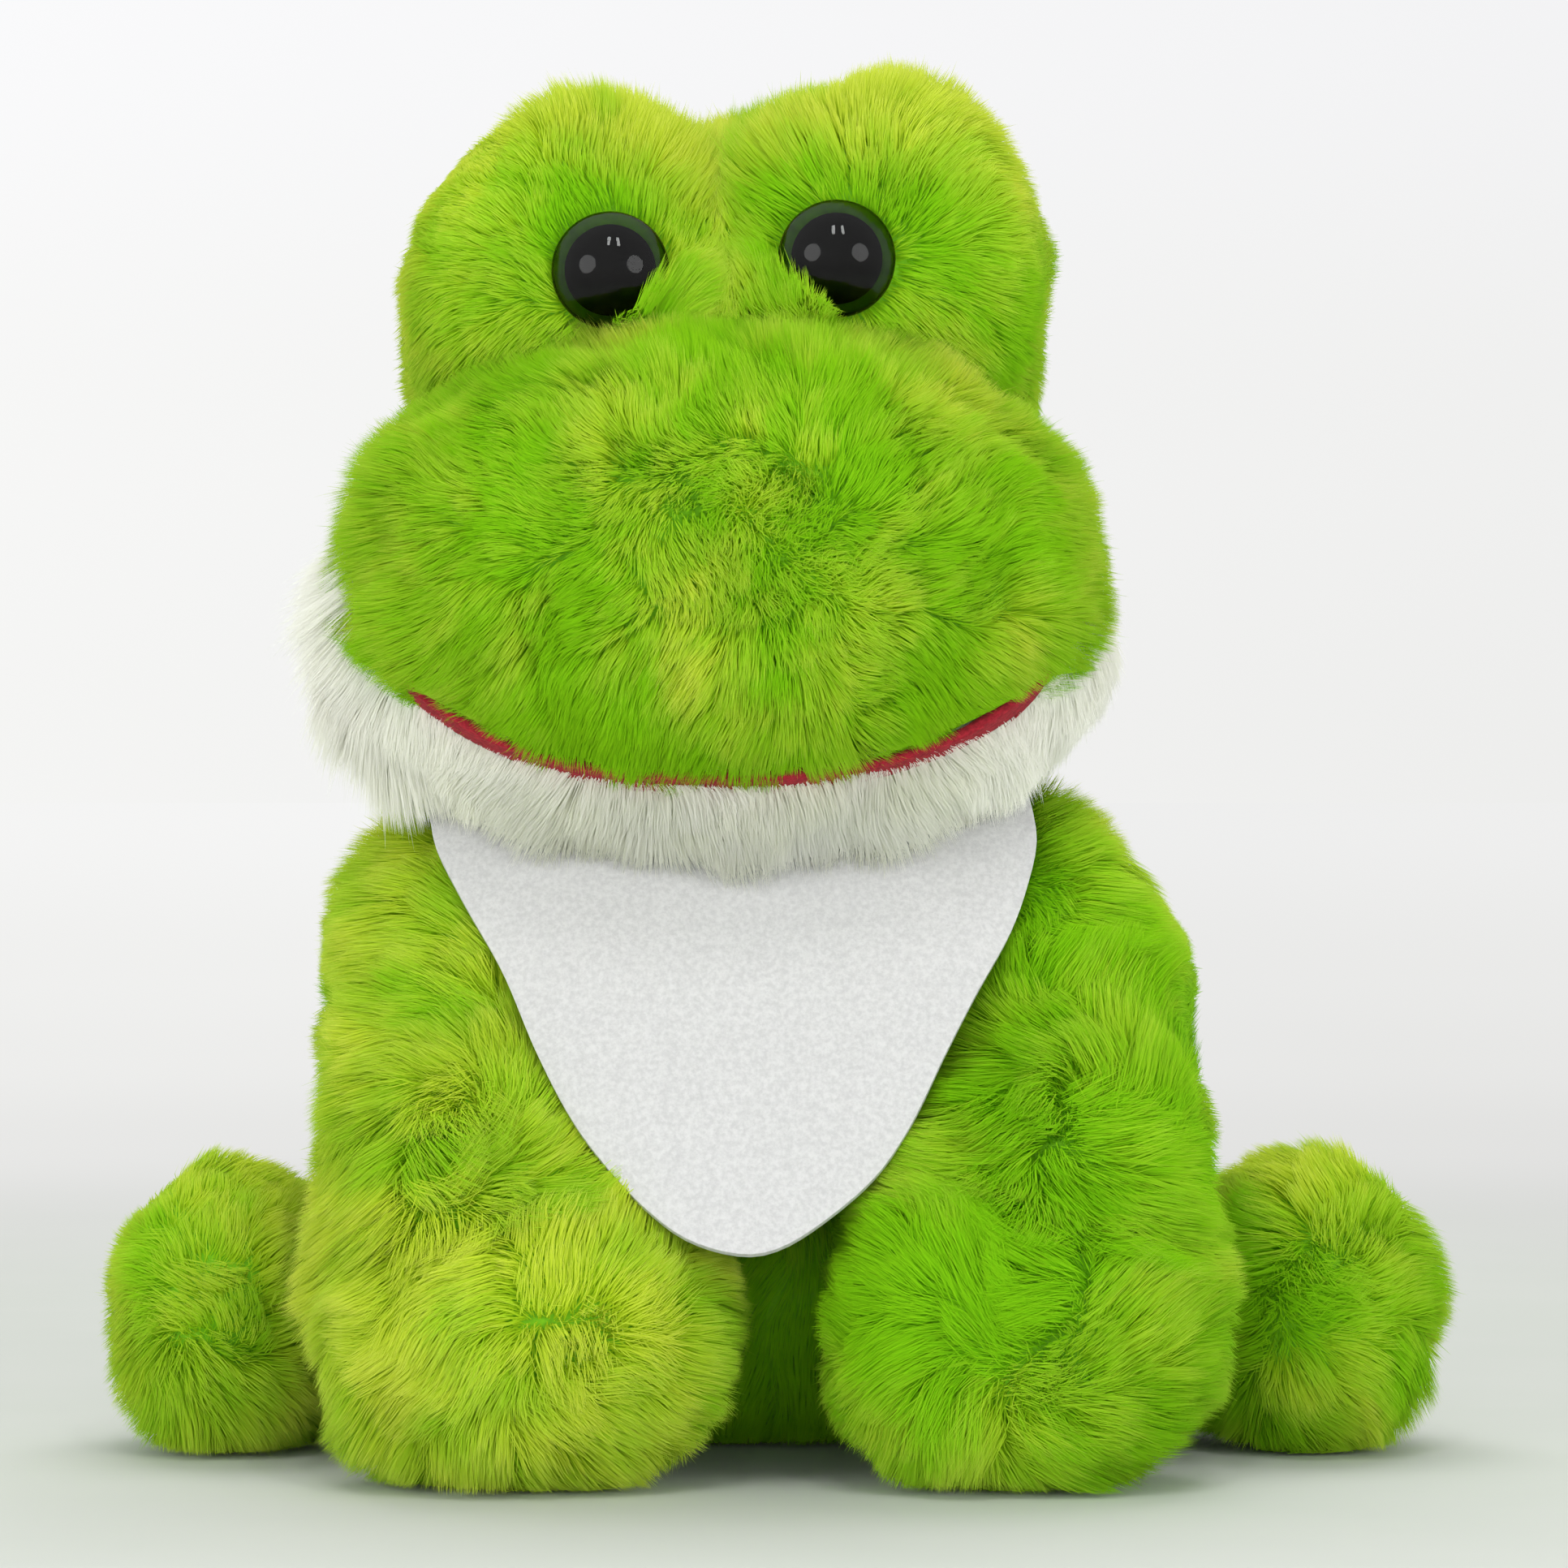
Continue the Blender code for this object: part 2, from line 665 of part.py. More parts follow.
def build_band(root):
    band = turned_part("bib_band", band_profile(), True, white_felt())
    band.location = neck_middle()
    band.parent = root
    outer = NECK_RADIUS + BAND_GAP + BAND_THICKNESS
    drop = (BAND_TOP_ANGLE + BAND_BOTTOM_ANGLE) / 2
    low = (-TAB_WIDTH / 2, outer + SEAM_GAP, -TAB_HEIGHT / 2)
    high = (TAB_WIDTH / 2, outer + SEAM_GAP + TAB_THICKNESS, TAB_HEIGHT / 2)
    tab_mesh = box_mesh("bib_fastener", low, high)
    tab_mesh.transform(Matrix.Rotation(-drop, 4, "X"))
    tab_mesh.transform(Matrix.Translation(neck_middle()))
    add_part("bib_fastener", tab_mesh, white_felt(), root)


def bib_hinge():
    return (NECK_X, NECK_Y - band_front() - SEAM_GAP - BIB_THICKNESS / 2, BIB_TOP_Z)


def bib_point(across, down):
    """A point of the cloth: across from -1 to 1, down from 0 at the top to 1 at the tip."""
    width = (1 - down**BIB_SHOULDER_POWER) ** BIB_TIP_POWER
    x = BIB_X + across * width * BIB_HALF_WIDTH
    top = BIB_TOP_Z + BIB_CORNER_RISE * across**2
    z = top + (BIB_TIP_Z - top) * down
    _, hinge_y, _ = bib_hinge()
    corner = -BIB_CORNER_FORWARD * across**2 * (1 - down)
    fold = BIB_FOLD_DEPTH * math.sin(BIB_FOLDS * math.pi * across) * down * (1 - down) * 4
    y = hinge_y + (BIB_TIP_Y - hinge_y) * down + corner + fold
    return (x, y, z)


def build_bib(root):
    hinge = joint("bib_joint", bib_hinge(), root)
    shape = bmesh.new()
    across_steps, down_steps = BIB_STEPS
    rows = []
    for j in range(down_steps):
        down = math.sin(math.pi / 2 * j / down_steps)
        row = [bib_point(2 * i / across_steps - 1, down) for i in range(across_steps + 1)]
        rows.append([shape.verts.new(point) for point in row])
    tip = shape.verts.new(bib_point(0, 1))
    for upper, lower in zip(rows, rows[1:]):
        for i in range(across_steps):
            shape.faces.new((upper[i], lower[i], lower[i + 1], upper[i + 1]))
    last = rows[-1]
    for i in range(across_steps):
        shape.faces.new((last[i], tip, last[i + 1]))
    mesh = bpy.data.meshes.new("bib")
    shape.to_mesh(mesh)
    shape.free()
    bib = add_part("bib", mesh, white_felt(), hinge)
    thick = bib.modifiers.new("thickness", "SOLIDIFY")
    thick.thickness = BIB_THICKNESS
    thick.offset = 0.0


def build_frog():
    clear_scene()
    root = joint("body_origin", (0, 0, 0))
    turn = joint("head_turn_joint", neck_middle(), root)
    nod = joint("head_nod_joint", neck_middle(), turn)
    floor = floor_cutter()
    socket = add_cutter("socket", ball_mesh("socket", NECK_RADIUS + NECK_CLEARANCE))
    build_torso(root, floor, socket)
    build_neck(turn)
    head_room = build_head(nod, socket)
    build_mouth(nod, head_room, socket)
    build_limbs(root, floor)
    build_band(root)
    build_bib(root)


build_frog()
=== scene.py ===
"""The plush frog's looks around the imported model: pile, eyes, mouth felt, band and bib.

Sizes here are millimetres, in the CAD's frame, and each mesh is scaled once when it is made.
Only the lamps and the stage's shader are in metres, as Blender takes them.
The forms are the CAD's own lobes, repeated, so that the pile grows out of the same shapes.
"Right" is the frog's own right, at negative x.
"""

import math

import bmesh
import bpy
import numpy as np
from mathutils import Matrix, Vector
from mathutils.kdtree import KDTree


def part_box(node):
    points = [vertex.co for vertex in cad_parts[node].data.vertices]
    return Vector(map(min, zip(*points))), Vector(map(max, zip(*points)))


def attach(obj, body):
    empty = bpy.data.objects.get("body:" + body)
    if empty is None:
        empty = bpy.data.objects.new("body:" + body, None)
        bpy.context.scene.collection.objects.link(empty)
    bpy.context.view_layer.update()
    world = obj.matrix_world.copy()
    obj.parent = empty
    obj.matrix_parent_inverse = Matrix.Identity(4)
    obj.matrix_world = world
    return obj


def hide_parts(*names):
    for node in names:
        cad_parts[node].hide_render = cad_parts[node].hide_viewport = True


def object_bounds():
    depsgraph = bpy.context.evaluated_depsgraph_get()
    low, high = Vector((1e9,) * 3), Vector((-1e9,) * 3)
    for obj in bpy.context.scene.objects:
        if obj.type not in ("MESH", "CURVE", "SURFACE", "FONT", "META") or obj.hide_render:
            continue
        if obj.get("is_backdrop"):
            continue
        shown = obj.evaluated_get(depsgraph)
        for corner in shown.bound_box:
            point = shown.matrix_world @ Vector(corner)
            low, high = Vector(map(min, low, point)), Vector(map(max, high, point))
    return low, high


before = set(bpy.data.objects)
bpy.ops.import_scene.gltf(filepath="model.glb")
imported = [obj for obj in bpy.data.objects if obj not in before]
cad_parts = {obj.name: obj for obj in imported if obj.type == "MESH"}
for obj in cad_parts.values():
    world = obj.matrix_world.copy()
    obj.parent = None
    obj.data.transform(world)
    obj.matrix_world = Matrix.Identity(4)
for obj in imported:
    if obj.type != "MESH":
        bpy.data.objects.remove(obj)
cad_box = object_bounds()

MM = 0.001
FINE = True
scene = bpy.context.scene


# Camera, at the photograph's place. Its columns and rows are counted in a picture of 1932 x 1932.

PHOTO_SIZE = 1932
PHOTO_FOCAL = 7752.0
PHOTO_MIDDLE = (940.0, 936.0)
CAMERA_AT = (-1.0, -1022.0, 110.0)
SENSOR = 36.0


def make_camera():
    data = bpy.data.cameras.new("camera")
    data.sensor_width = SENSOR
    data.lens = SENSOR * PHOTO_FOCAL / PHOTO_SIZE
    data.clip_start = 0.05
    data.clip_end = 20.0
    camera = bpy.data.objects.new("camera", data)
    scene.collection.objects.link(camera)
    camera.location = Vector(CAMERA_AT) * MM
    right = (PHOTO_SIZE / 2 - PHOTO_MIDDLE[0]) / PHOTO_FOCAL
    down = (PHOTO_SIZE / 2 - PHOTO_MIDDLE[1]) / PHOTO_FOCAL
    camera.rotation_mode = "QUATERNION"
    camera.rotation_quaternion = Vector((right, 1.0, -down)).to_track_quat("-Z", "Y")
    scene.camera = camera


def from_photo(column, row, y):
    """The point at depth y that the photograph shows at a column and row."""
    away = y - CAMERA_AT[1]
    x = CAMERA_AT[0] + (column - PHOTO_MIDDLE[0]) * away / PHOTO_FOCAL
    z = CAMERA_AT[2] + (PHOTO_MIDDLE[1] - row) * away / PHOTO_FOCAL
    return np.array((x, y, z))


# Mesh helpers

WAVE_COUNT = 12
WAVE_LENGTH = 1.8  # of a wave, in sizes of the spots that it makes


def add_mesh(name, points, faces, material, body=None):
    """A smooth-shaded piece from points in millimetres, riding on a body if one is named."""
    mesh = bpy.data.meshes.new(name)
    mesh.from_pydata((np.asarray(points) * MM).tolist(), [], [tuple(f) for f in faces])
    mesh.update()
    piece = bpy.data.objects.new(name, mesh)
    scene.collection.objects.link(piece)
    mesh.materials.append(material)
    mesh.shade_smooth()
    if body:
        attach(piece, body)
    return piece


def thicken(piece, thickness):
    wall = piece.modifiers.new("thickness", "SOLIDIFY")
    wall.thickness = thickness * MM
    wall.offset = 0.0


def unit(vectors):
    lengths = np.linalg.norm(vectors, axis=-1, keepdims=True)
    return vectors / np.maximum(lengths, 1e-9)


def smoothstep(low, high, values):
    """0 up to low and 1 from high, or the other way round where low is the larger."""
    share = np.clip((values - low) / (high - low), 0, 1)
    return share * share * (3 - 2 * share)


def hump(distances, size):
    """1 at distance 0, falling to 0 over about twice the size."""
    return np.exp(-((distances / size) ** 2))


def waves(points, size, seed):
    """Smooth noise about size mm across, spread about 0 by about 1."""
    rng = np.random.default_rng(seed)
    turns = rng.normal(size=(WAVE_COUNT, 3)) * (2 * math.pi / size / WAVE_LENGTH)
    starts = rng.uniform(0, 2 * math.pi, WAVE_COUNT)
    return np.sin(points @ turns.T + starts).sum(axis=1) / math.sqrt(WAVE_COUNT / 2)


# Materials

STRAND_STOPS = (0.0, 0.35, 0.7, 1.0)  # places along a strand, from its root to its tip
STRAND_THROUGH = 0.4  # the share of a strand's light that comes through it
MIX_SHARE, MIX_FIRST, MIX_SECOND, MIX_COLOUR = 0, 6, 7, 2  # the colour sockets of a Mix node


def feed(tree, node, given):
    """Set a node's inputs, or link them where another node's output is given."""
    for key, value in given.items():
        if isinstance(value, bpy.types.NodeSocket):
            tree.links.new(value, node.inputs[key])
        else:
            node.inputs[key].default_value = value


def add_node(tree, kind, given=(), **settings):
    node = tree.nodes.new("ShaderNode" + kind)
    for name, value in settings.items():
        setattr(node, name, value)
    feed(tree, node, dict(given))
    return node


def new_material(name):
    made = bpy.data.materials.new(name)
    made.use_nodes = True
    return made, made.node_tree, made.node_tree.nodes["Principled BSDF"]


def ramp(tree, stops, value):
    """The colour that a value has between stops."""
    made = add_node(tree, "ValToRGB", {"Fac": value})
    made.color_ramp.interpolation = "EASE"
    elements = made.color_ramp.elements
    while len(elements) < len(stops):
        elements.new(0.5)
    for element, (place, colour) in zip(elements, stops):
        element.position = place
        element.color = (*colour, 1.0)
    return made.outputs["Color"]


def mix_colours(tree, share, first, second):
    given = {MIX_SHARE: share, MIX_FIRST: first, MIX_SECOND: second}
    return add_node(tree, "Mix", given, data_type="RGBA").outputs[MIX_COLOUR]


def mix_shaders(tree, share, first, second):
    """The material's surface, from two shaders."""
    both = add_node(tree, "MixShader", {0: share, 1: first.outputs[0], 2: second.outputs[0]})
    feed(tree, tree.nodes["Material Output"], {"Surface": both.outputs[0]})


def pile_material(name, dark, light, rough, sheen):
    """Colour along each strand, from its root to its tip, in a dark and a light version. The darker roots are
    partly painted shade deep in the pile and the lighter tips partly painted light, and the share between the
    versions carries painted light and shade as well as the pile's own random tone.
    """
    made, tree, shader = new_material(name)
    where = add_node(tree, "UVMap", uv_map="strand").outputs["UV"]
    spot = add_node(tree, "SeparateXYZ", {0: where}).outputs
    low, high = (ramp(tree, list(zip(STRAND_STOPS, colours)), spot["X"]) for colours in (dark, light))
    colour = mix_colours(tree, spot["Y"], low, high)
    feed(tree, shader, {
        "Base Color": colour,
        "Roughness": rough,
        "Specular IOR Level": 0.08,
        "Sheen Weight": sheen,
        "Sheen Tint": (*light[-1], 1.0),
        "Sheen Roughness": 0.5,
    })
    mix_shaders(tree, STRAND_THROUGH, shader, add_node(tree, "BsdfTranslucent", {"Color": colour}))
    return made


def noise(tree, size, detail=3.0, rough=0.55):
    """Noise in the object's own metres, about size mm across."""
    place = add_node(tree, "TexCoord").outputs["Object"]
    given = {"Vector": place, "Scale": 1.0 / (size * MM), "Detail": detail, "Roughness": rough}
    return add_node(tree, "TexNoise", given).outputs["Fac"]


def backing_material(name, dark, light):
    """The knitted backing between the roots of the pile."""
    made, tree, shader = new_material(name)
    colour = ramp(tree, [(0.3, dark), (0.7, light)], noise(tree, 2.0))
    feed(tree, shader, {"Base Color": colour, "Roughness": 0.95})
    return made


def felt_material(name, dark, light, size, bump, sheen):
    made, tree, shader = new_material(name)
    fibres = noise(tree, size, detail=6.0, rough=0.7)
    relief = add_node(tree, "Bump", {"Strength": bump, "Distance": 0.0004, "Height": fibres})
    feed(tree, shader, {
        "Base Color": ramp(tree, [(0.32, dark), (0.68, light)], fibres),
        "Normal": relief.outputs["Normal"],
        "Roughness": 0.92,
        "Sheen Weight": sheen,
    })
    return made


def plastic_material(name, colour, rough, clear=0.0, shine=0.5, tint=1.0):
    made, tree, shader = new_material(name)
    darker = tuple(0.85 * c for c in colour)
    feed(tree, shader, {
        "Base Color": ramp(tree, [(0.3, darker), (0.7, colour)], noise(tree, 1.2)),
        "Roughness": rough,
        "Transmission Weight": clear,
        "Specular IOR Level": shine,
        "Specular Tint": (tint, tint, tint, 1.0),
        "IOR": 1.49,
    })
    return made


# Lighter from root to tip: partly painted shade deep in the pile and painted light on the tips
GREEN = pile_material(
    "green_pile",
    dark=[(0.187, 0.515, 0.004), (0.232, 0.590, 0.005), (0.285, 0.660, 0.006), (0.340, 0.720, 0.008)],
    light=[(0.400, 0.595, 0.012), (0.530, 0.710, 0.022), (0.680, 0.805, 0.058), (0.820, 0.890, 0.135)],
    rough=0.75,
    sheen=0.10,
)
WHITE = pile_material(
    "white_pile",
    dark=[(0.83, 0.84, 0.66), (0.86, 0.87, 0.71), (0.89, 0.90, 0.77), (0.91, 0.92, 0.81)],
    light=[(0.88, 0.89, 0.79), (0.91, 0.92, 0.83), (0.94, 0.94, 0.88), (0.96, 0.96, 0.91)],
    rough=0.7,
    sheen=0.15,
)
GREEN_BACKING = backing_material("green_backing", (0.150, 0.410, 0.004), (0.210, 0.520, 0.006))
WHITE_BACKING = backing_material("white_backing", (0.74, 0.76, 0.64), (0.84, 0.86, 0.76))
BIB_FELT = felt_material("bib_felt", (0.50, 0.50, 0.505), (0.615, 0.615, 0.615), size=0.9, bump=0.45, sheen=0.1)
RED_FELT = felt_material("red_felt", (0.22, 0.004, 0.014), (0.45, 0.012, 0.030), size=0.8, bump=0.7, sheen=0.0)
LENS = plastic_material("clear_lens", (0.40, 0.46, 0.26), rough=0.02, clear=1.0, tint=0.45)
PUPIL = plastic_material("black_pupil", (0.003, 0.003, 0.004), rough=0.5, shine=0.0)
WASHER = plastic_material("washer_plastic", (0.70, 0.70, 0.67), rough=0.45)


# Forms: the CAD's lobes

BLEND = 6.0  # how softly neighbouring lobes run together
HEAD_X = -7.0  # the head's middle plane
SLOPE_STEP = 0.05
FARTHEST = 150.0  # no skin lies farther from its form's middle


def lobe(middle, halves, power_xz=2.0, power_y=2.0):
    return (np.array(middle, float), np.array(halves, float), power_xz, power_y)


def lobe_distance(points, one, grow):
    middle, halves, power_xz, power_y = one
    reach = halves + grow
    across, forward, upward = np.abs((points - middle) / reach).T
    ring = across**power_xz + upward**power_xz
    return ((ring ** (power_y / power_xz) + forward**power_y) ** (1 / power_y) - 1) * reach.min()


def distance(points, lobes, grow=0.0):
    """About how far outside a form points lie, with the form grown on all sides."""
    spread = sum(np.exp(-lobe_distance(points, one, grow) / BLEND) for one in lobes)
    return -BLEND * np.log(np.maximum(spread, 1e-300))


def outward(points, lobes):
    """A form's normals at points."""
    slopes = []
    for axis in np.eye(3) * SLOPE_STEP:
        slopes.append(distance(points + axis, lobes) - distance(points - axis, lobes))
    return unit(np.stack(slopes, axis=1))


def surface(middle, directions, lobes, grow, rounds):
    """Where rays from a form's middle leave it, found by halving."""
    near, far = np.zeros(len(directions)), np.full(len(directions), FARTHEST)
    for _ in range(rounds):
        half = (near + far) / 2
        inside = distance(middle + directions * half[:, None], lobes, grow) < 0
        near, far = np.where(inside, half, near), np.where(inside, far, half)
    return middle + directions * near[:, None]


SHOULDERS = {
    -1: lobe((-47.0, -30.0, 83.0), (16.0, 16.0, 18.0)),
    1: lobe((40.5, -30.0, 84.0), (11.5, 15.0, 16.5)),
}
UPPER_ARM_X = {-1: -45.0, 1: 42.0}


def arm_lobes(side):
    return [
        SHOULDERS[side],
        lobe((UPPER_ARM_X[side], -38.0, 70.0), (17.0, 17.0, 21.0)),
        lobe((side * 43.0, -62.0, 50.0), (17.0, 15.0, 12.5)),
        lobe((side * 45.0, -27.0, 75.0), (21.0, 18.0, 18.0)),
        lobe((side * 48.0, -49.0, 52.0), (17.5, 18.5, 28.0)),
        lobe((side * 36.5, -68.0, 24.3), (29.5, 26.5, 25.5), 2.2, 2.2),
    ]


def leg_lobes(side):
    return [
        lobe((side * 54.0, 4.0, 23.3), (21.5, 24.0, 24.5)),
        lobe((side * 86.5, -16.0, 23.05), (18.5, 25.5, 24.25), 2.2, 2.2),
    ]


FORMS = {
    "torso": [lobe((0, 0, 33.8), (40, 40, 35), 2.4, 2.2), lobe((0, -16.5, 62), (29.8, 25.5, 26))],
    "neck": [lobe((-3, -22, 98), (25, 25, 25))],
    "head": [
        lobe((HEAD_X, -17, 147), (49, 41, 54), 2.4, 2.2),
        lobe((-32.5, -33, 184.2), (24.5, 28, 27), 2.2, 3.0),
        lobe((18.5, -33, 186.8), (24.5, 28, 27), 2.2, 3.0),
    ],
    "muzzle": [lobe((HEAD_X, -50, 139), (56, 44, 34.5), 2.2, 3.0)],
    "jaw": [lobe((HEAD_X, -44, 130), (61.5, 38, 35), 2.0, 2.4)],
    "right_arm": arm_lobes(-1),
    "left_arm": arm_lobes(1),
    "right_leg": leg_lobes(-1),
    "left_leg": leg_lobes(1),
}
MIDDLES = {
    "torso": (0, -8, 46),
    "neck": (-3, -22, 98),
    "head": (HEAD_X, -24, 166),
    "muzzle": (HEAD_X, -50, 139),
    "jaw": (HEAD_X, -44, 130),
    "right_arm": (-48, -49, 52),
    "left_arm": (48, -49, 52),
    "right_leg": (-70, -6, 23),
    "left_leg": (70, -6, 23),
}
BODIES = {"muzzle": "head", "jaw": "head"}  # the other forms have a body of their own name
ARM_FACE = 31.0  # how far out the arms' sewn faces stand
ARM_FACE_BOTTOM = 57.0
LEG_FACE = 40.3


def side_of(name):
    return -1 if name.startswith("right") else 1


def sewn_face(name, points):
    """Points of a limb's skin, kept on its own side of the flat that is sewn to the body."""
    side = side_of(name)
    kept = points.copy()
    if name.endswith("arm"):
        high = kept[:, 2] > ARM_FACE_BOTTOM
        kept[high, 0] = side * np.maximum(side * kept[high, 0], ARM_FACE)
    if name.endswith("leg"):
        kept[:, 0] = side * np.maximum(side * kept[:, 0], LEG_FACE)
    return kept


def ball(subdivisions):
    shape = bmesh.new()
    bmesh.ops.create_icosphere(shape, subdivisions=subdivisions, radius=1.0)
    points = unit(np.array([v.co for v in shape.verts]))
    faces = np.array([[v.index for v in f.verts] for f in shape.faces])
    shape.free()
    return points, faces


SKIN_DEPTH = -3.0  # the pile's roots lie this far inside the CAD's covers
SKIN_FLOOR = 0.4
DENT_DEPTH, DENT_SIZE = 0.5, 24.0
BALL_POINTS, BALL_FACES = ball(5)


def skin_points(name):
    return surface(np.array(MIDDLES[name], float), BALL_POINTS, FORMS[name], SKIN_DEPTH, 30)


def make_skins():
    """The stuffed forms under the pile, with the soft dents of their filling."""
    for name, lobes in FORMS.items():
        points = skin_points(name)
        points = points + outward(points, lobes) * (DENT_DEPTH * waves(points, DENT_SIZE, 11))[:, None]
        points = sewn_face(name, points)
        points[:, 2] = np.maximum(points[:, 2], SKIN_FLOOR)
        look = WHITE_BACKING if name == "jaw" else GREEN_BACKING
        skin = add_mesh(name + "_skin", points, BALL_FACES, look, BODIES.get(name, name))
        nodes = ["neck"] if name == "neck" else [name + "_cover", name + "_filling"]
        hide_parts(*nodes)


# Bib: its edge as the photograph shows it, from the frog's right corner round the tip to the left

BIB_EDGE = [
    (526, 985), (531, 1015), (540, 1052), (575, 1120), (620, 1200), (660, 1295), (704, 1380), (752, 1445),
    (800, 1495), (850, 1530), (912, 1547), (962, 1539), (1020, 1503), (1080, 1450), (1124, 1385), (1165, 1300),
    (1203, 1226), (1245, 1150), (1268, 1085), (1277, 1035), (1268, 985), (1262, 960),
]
BIB_TOP, BIB_TIP = 101.0, 35.9  # heights
BIB_TOP_Y, BIB_TIP_Y = -52.5, -88.0
BIB_X = -5.0
BIB_HALF_WIDTH = 45.0
BIB_ROWS, BIB_COLUMNS = 44, 40


def bib_depth(x, z):
    """Where the bib hangs, over the chest, the arms and the paws."""
    down = np.clip((BIB_TOP - z) / (BIB_TOP - BIB_TIP), -0.2, 1.1)
    y = BIB_TOP_Y + (BIB_TIP_Y - BIB_TOP_Y) * np.sign(down) * np.abs(down) ** 0.9
    off = (x - BIB_X) / BIB_HALF_WIDTH
    fold = 0.8 * np.sin(5.2 * off + 0.6) * np.sin(math.pi * np.clip(down, 0, 1))
    return y + 2.0 * off**2 + fold


def smooth_curve(a, b, c, d, t):
    """A point between b and c of a curve that goes through four points."""
    straight = 2 * b + (c - a) * t
    return 0.5 * (straight + (2 * a - 5 * b + 4 * c - d) * t**2 + (3 * b - a - 3 * c + d) * t**3)


def bib_outline(count):
    """The bib's edge in millimetres, evenly spaced."""
    rows = []
    for column, row in BIB_EDGE:
        x, y, z = from_photo(column, row, -70.0)
        for _ in range(4):
            x, y, z = from_photo(column, row, float(bib_depth(x, z)))
        rows.append((x, z))
    rows = np.array(rows)
    last = len(rows) - 1
    fine = []
    for i in range(last):
        around = [rows[min(max(j, 0), last)] for j in (i - 1, i, i + 1, i + 2)]
        fine += [smooth_curve(*around, t) for t in np.linspace(0, 1, 12, endpoint=False)]
    fine = np.array([*fine, rows[-1]])
    lengths = np.concatenate([[0], np.cumsum(np.linalg.norm(np.diff(fine, axis=0), axis=1))])
    wanted = np.linspace(0, lengths[-1], count)
    return np.stack([np.interp(wanted, lengths, fine[:, i]) for i in (0, 1)], axis=1)


BIB_RIM = bib_outline(80)


def in_bib(x, z):
    """How far inside the bib's edge points lie, roughly, in millimetres."""
    low = int(np.argmin(BIB_RIM[:, 1]))
    left, right = BIB_RIM[: low + 1], BIB_RIM[low:]
    from_left = x - np.interp(z, left[::-1, 1], left[::-1, 0])
    from_right = np.interp(z, right[:, 1], right[:, 0]) - x
    inside = np.minimum(from_left, from_right)
    return np.where((z > BIB_RIM[low, 1]) & (z < BIB_TOP + 6), inside, -10.0)


# Eyes, as the pile needs them


def eye_spots():
    """The back middles of the two lenses."""
    spots = []
    for side in ("right", "left"):
        low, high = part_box(side + "_eye_lens")
        middle = (low + high) / 2 / MM
        spots.append(np.array((middle.x, high.y / MM, middle.z)))
    return spots


EYES = eye_spots()
EYE_RADIUS = 9.0
EYE_BASE, EYE_DOME, EYE_FRONT = 1.2, 4.6, 5.8  # the height of the dome's base, its own, and both
EYE_BALL = 11.1  # the radius of the ball that the dome is a cap of
FACE_Y = -40  # pile by the eyes lies in front of this


def eye_lap(points, eye):
    """How much the pile laps over an eye, from below and the nose, and how far and which way the eye is."""
    apart = points[:, (0, 2)] - eye[[0, 2]]
    near = np.linalg.norm(apart, axis=1)
    angle = np.arctan2(apart[:, 1], apart[:, 0] * np.sign(HEAD_X - eye[0]))
    return smoothstep(1.15, 0.45, np.abs(angle + 0.75)), near, apart


def by_eye(roots, near):
    return smoothstep(16, 10, near) * (roots[:, 1] < FACE_Y)


# How the pile lies: each flow gives directions, and how far the strands stand on end in a whorl.
# The limbs' whorls are at columns and rows of the photograph.

PAW_Y, WRIST_Y, FOOT_Y = -92, -76, -38


def away_from(points, *centres):
    """Directions away from the nearest of some centres."""
    total = np.zeros_like(points)
    for centre in centres:
        apart = points - np.array(centre, float)
        total += apart / np.maximum(np.linalg.norm(apart, axis=1, keepdims=True), 1.0) ** 3
    return unit(total)


def away_from_seam(points, start, end):
    """Directions away from a short line, with the distance to it."""
    start, end = np.array(start, float), np.array(end, float)
    line = end - start
    share = np.clip(((points - start) @ line) / (line @ line), 0, 1)
    apart = points - start - share[:, None] * line
    return unit(apart), np.linalg.norm(apart, axis=1)


def whorl(flow, normals, near, strength, size):
    """Directions that also turn about a place."""
    return unit(flow + np.cross(normals, flow) * (strength * hump(near, size))[:, None])


def flow_head(points, normals):
    """Away from the eyes, but onto them where it laps, parted on the crown, down at the back."""
    flow = away_from(points, *EYES)
    for eye in EYES:
        lap, near, apart = eye_lap(points, eye)
        over = (lap * smoothstep(15, 11, near) * (points[:, 1] < -30))[:, None]
        inward = np.stack([-apart[:, 0], np.zeros(len(points)), -apart[:, 1]], axis=1)
        flow = flow * (1 - over) + unit(inward) * over
    flow[:, 2] += 0.25 * smoothstep(165, 195, points[:, 2])
    crown = smoothstep(22, 4, np.abs(points[:, 0] - HEAD_X))[:, None]
    parting = crown * smoothstep(150, 160, points[:, 2])[:, None]
    flow = flow * (1 - parting) + np.array((0, 0.5, 0.8)) * parting
    behind = smoothstep(-20, 10, points[:, 1])
    down = np.array((0, 0, -1.0))
    return unit(flow * (1 - 0.6 * behind[:, None]) + down * 0.6 * behind[:, None]), 0.0


def flow_muzzle(points, normals):
    """From a whorl at the nose."""
    flow, apart = away_from_seam(points, (-4.0, -90.0, 146.0), (6.0, -90.0, 137.0))
    return whorl(flow, normals, apart, 0.9, 14.0), 0.9 * hump(apart, 9.0)


def flow_jaw(points, normals):
    flow = away_from(points, (HEAD_X, -44.0, 168.0))
    return unit(flow + np.array((0, 0, -0.4))), 0.0


def flow_down(points, normals):
    return np.tile(np.array((0, -0.15, -1.0)), (len(points), 1)), 0.0


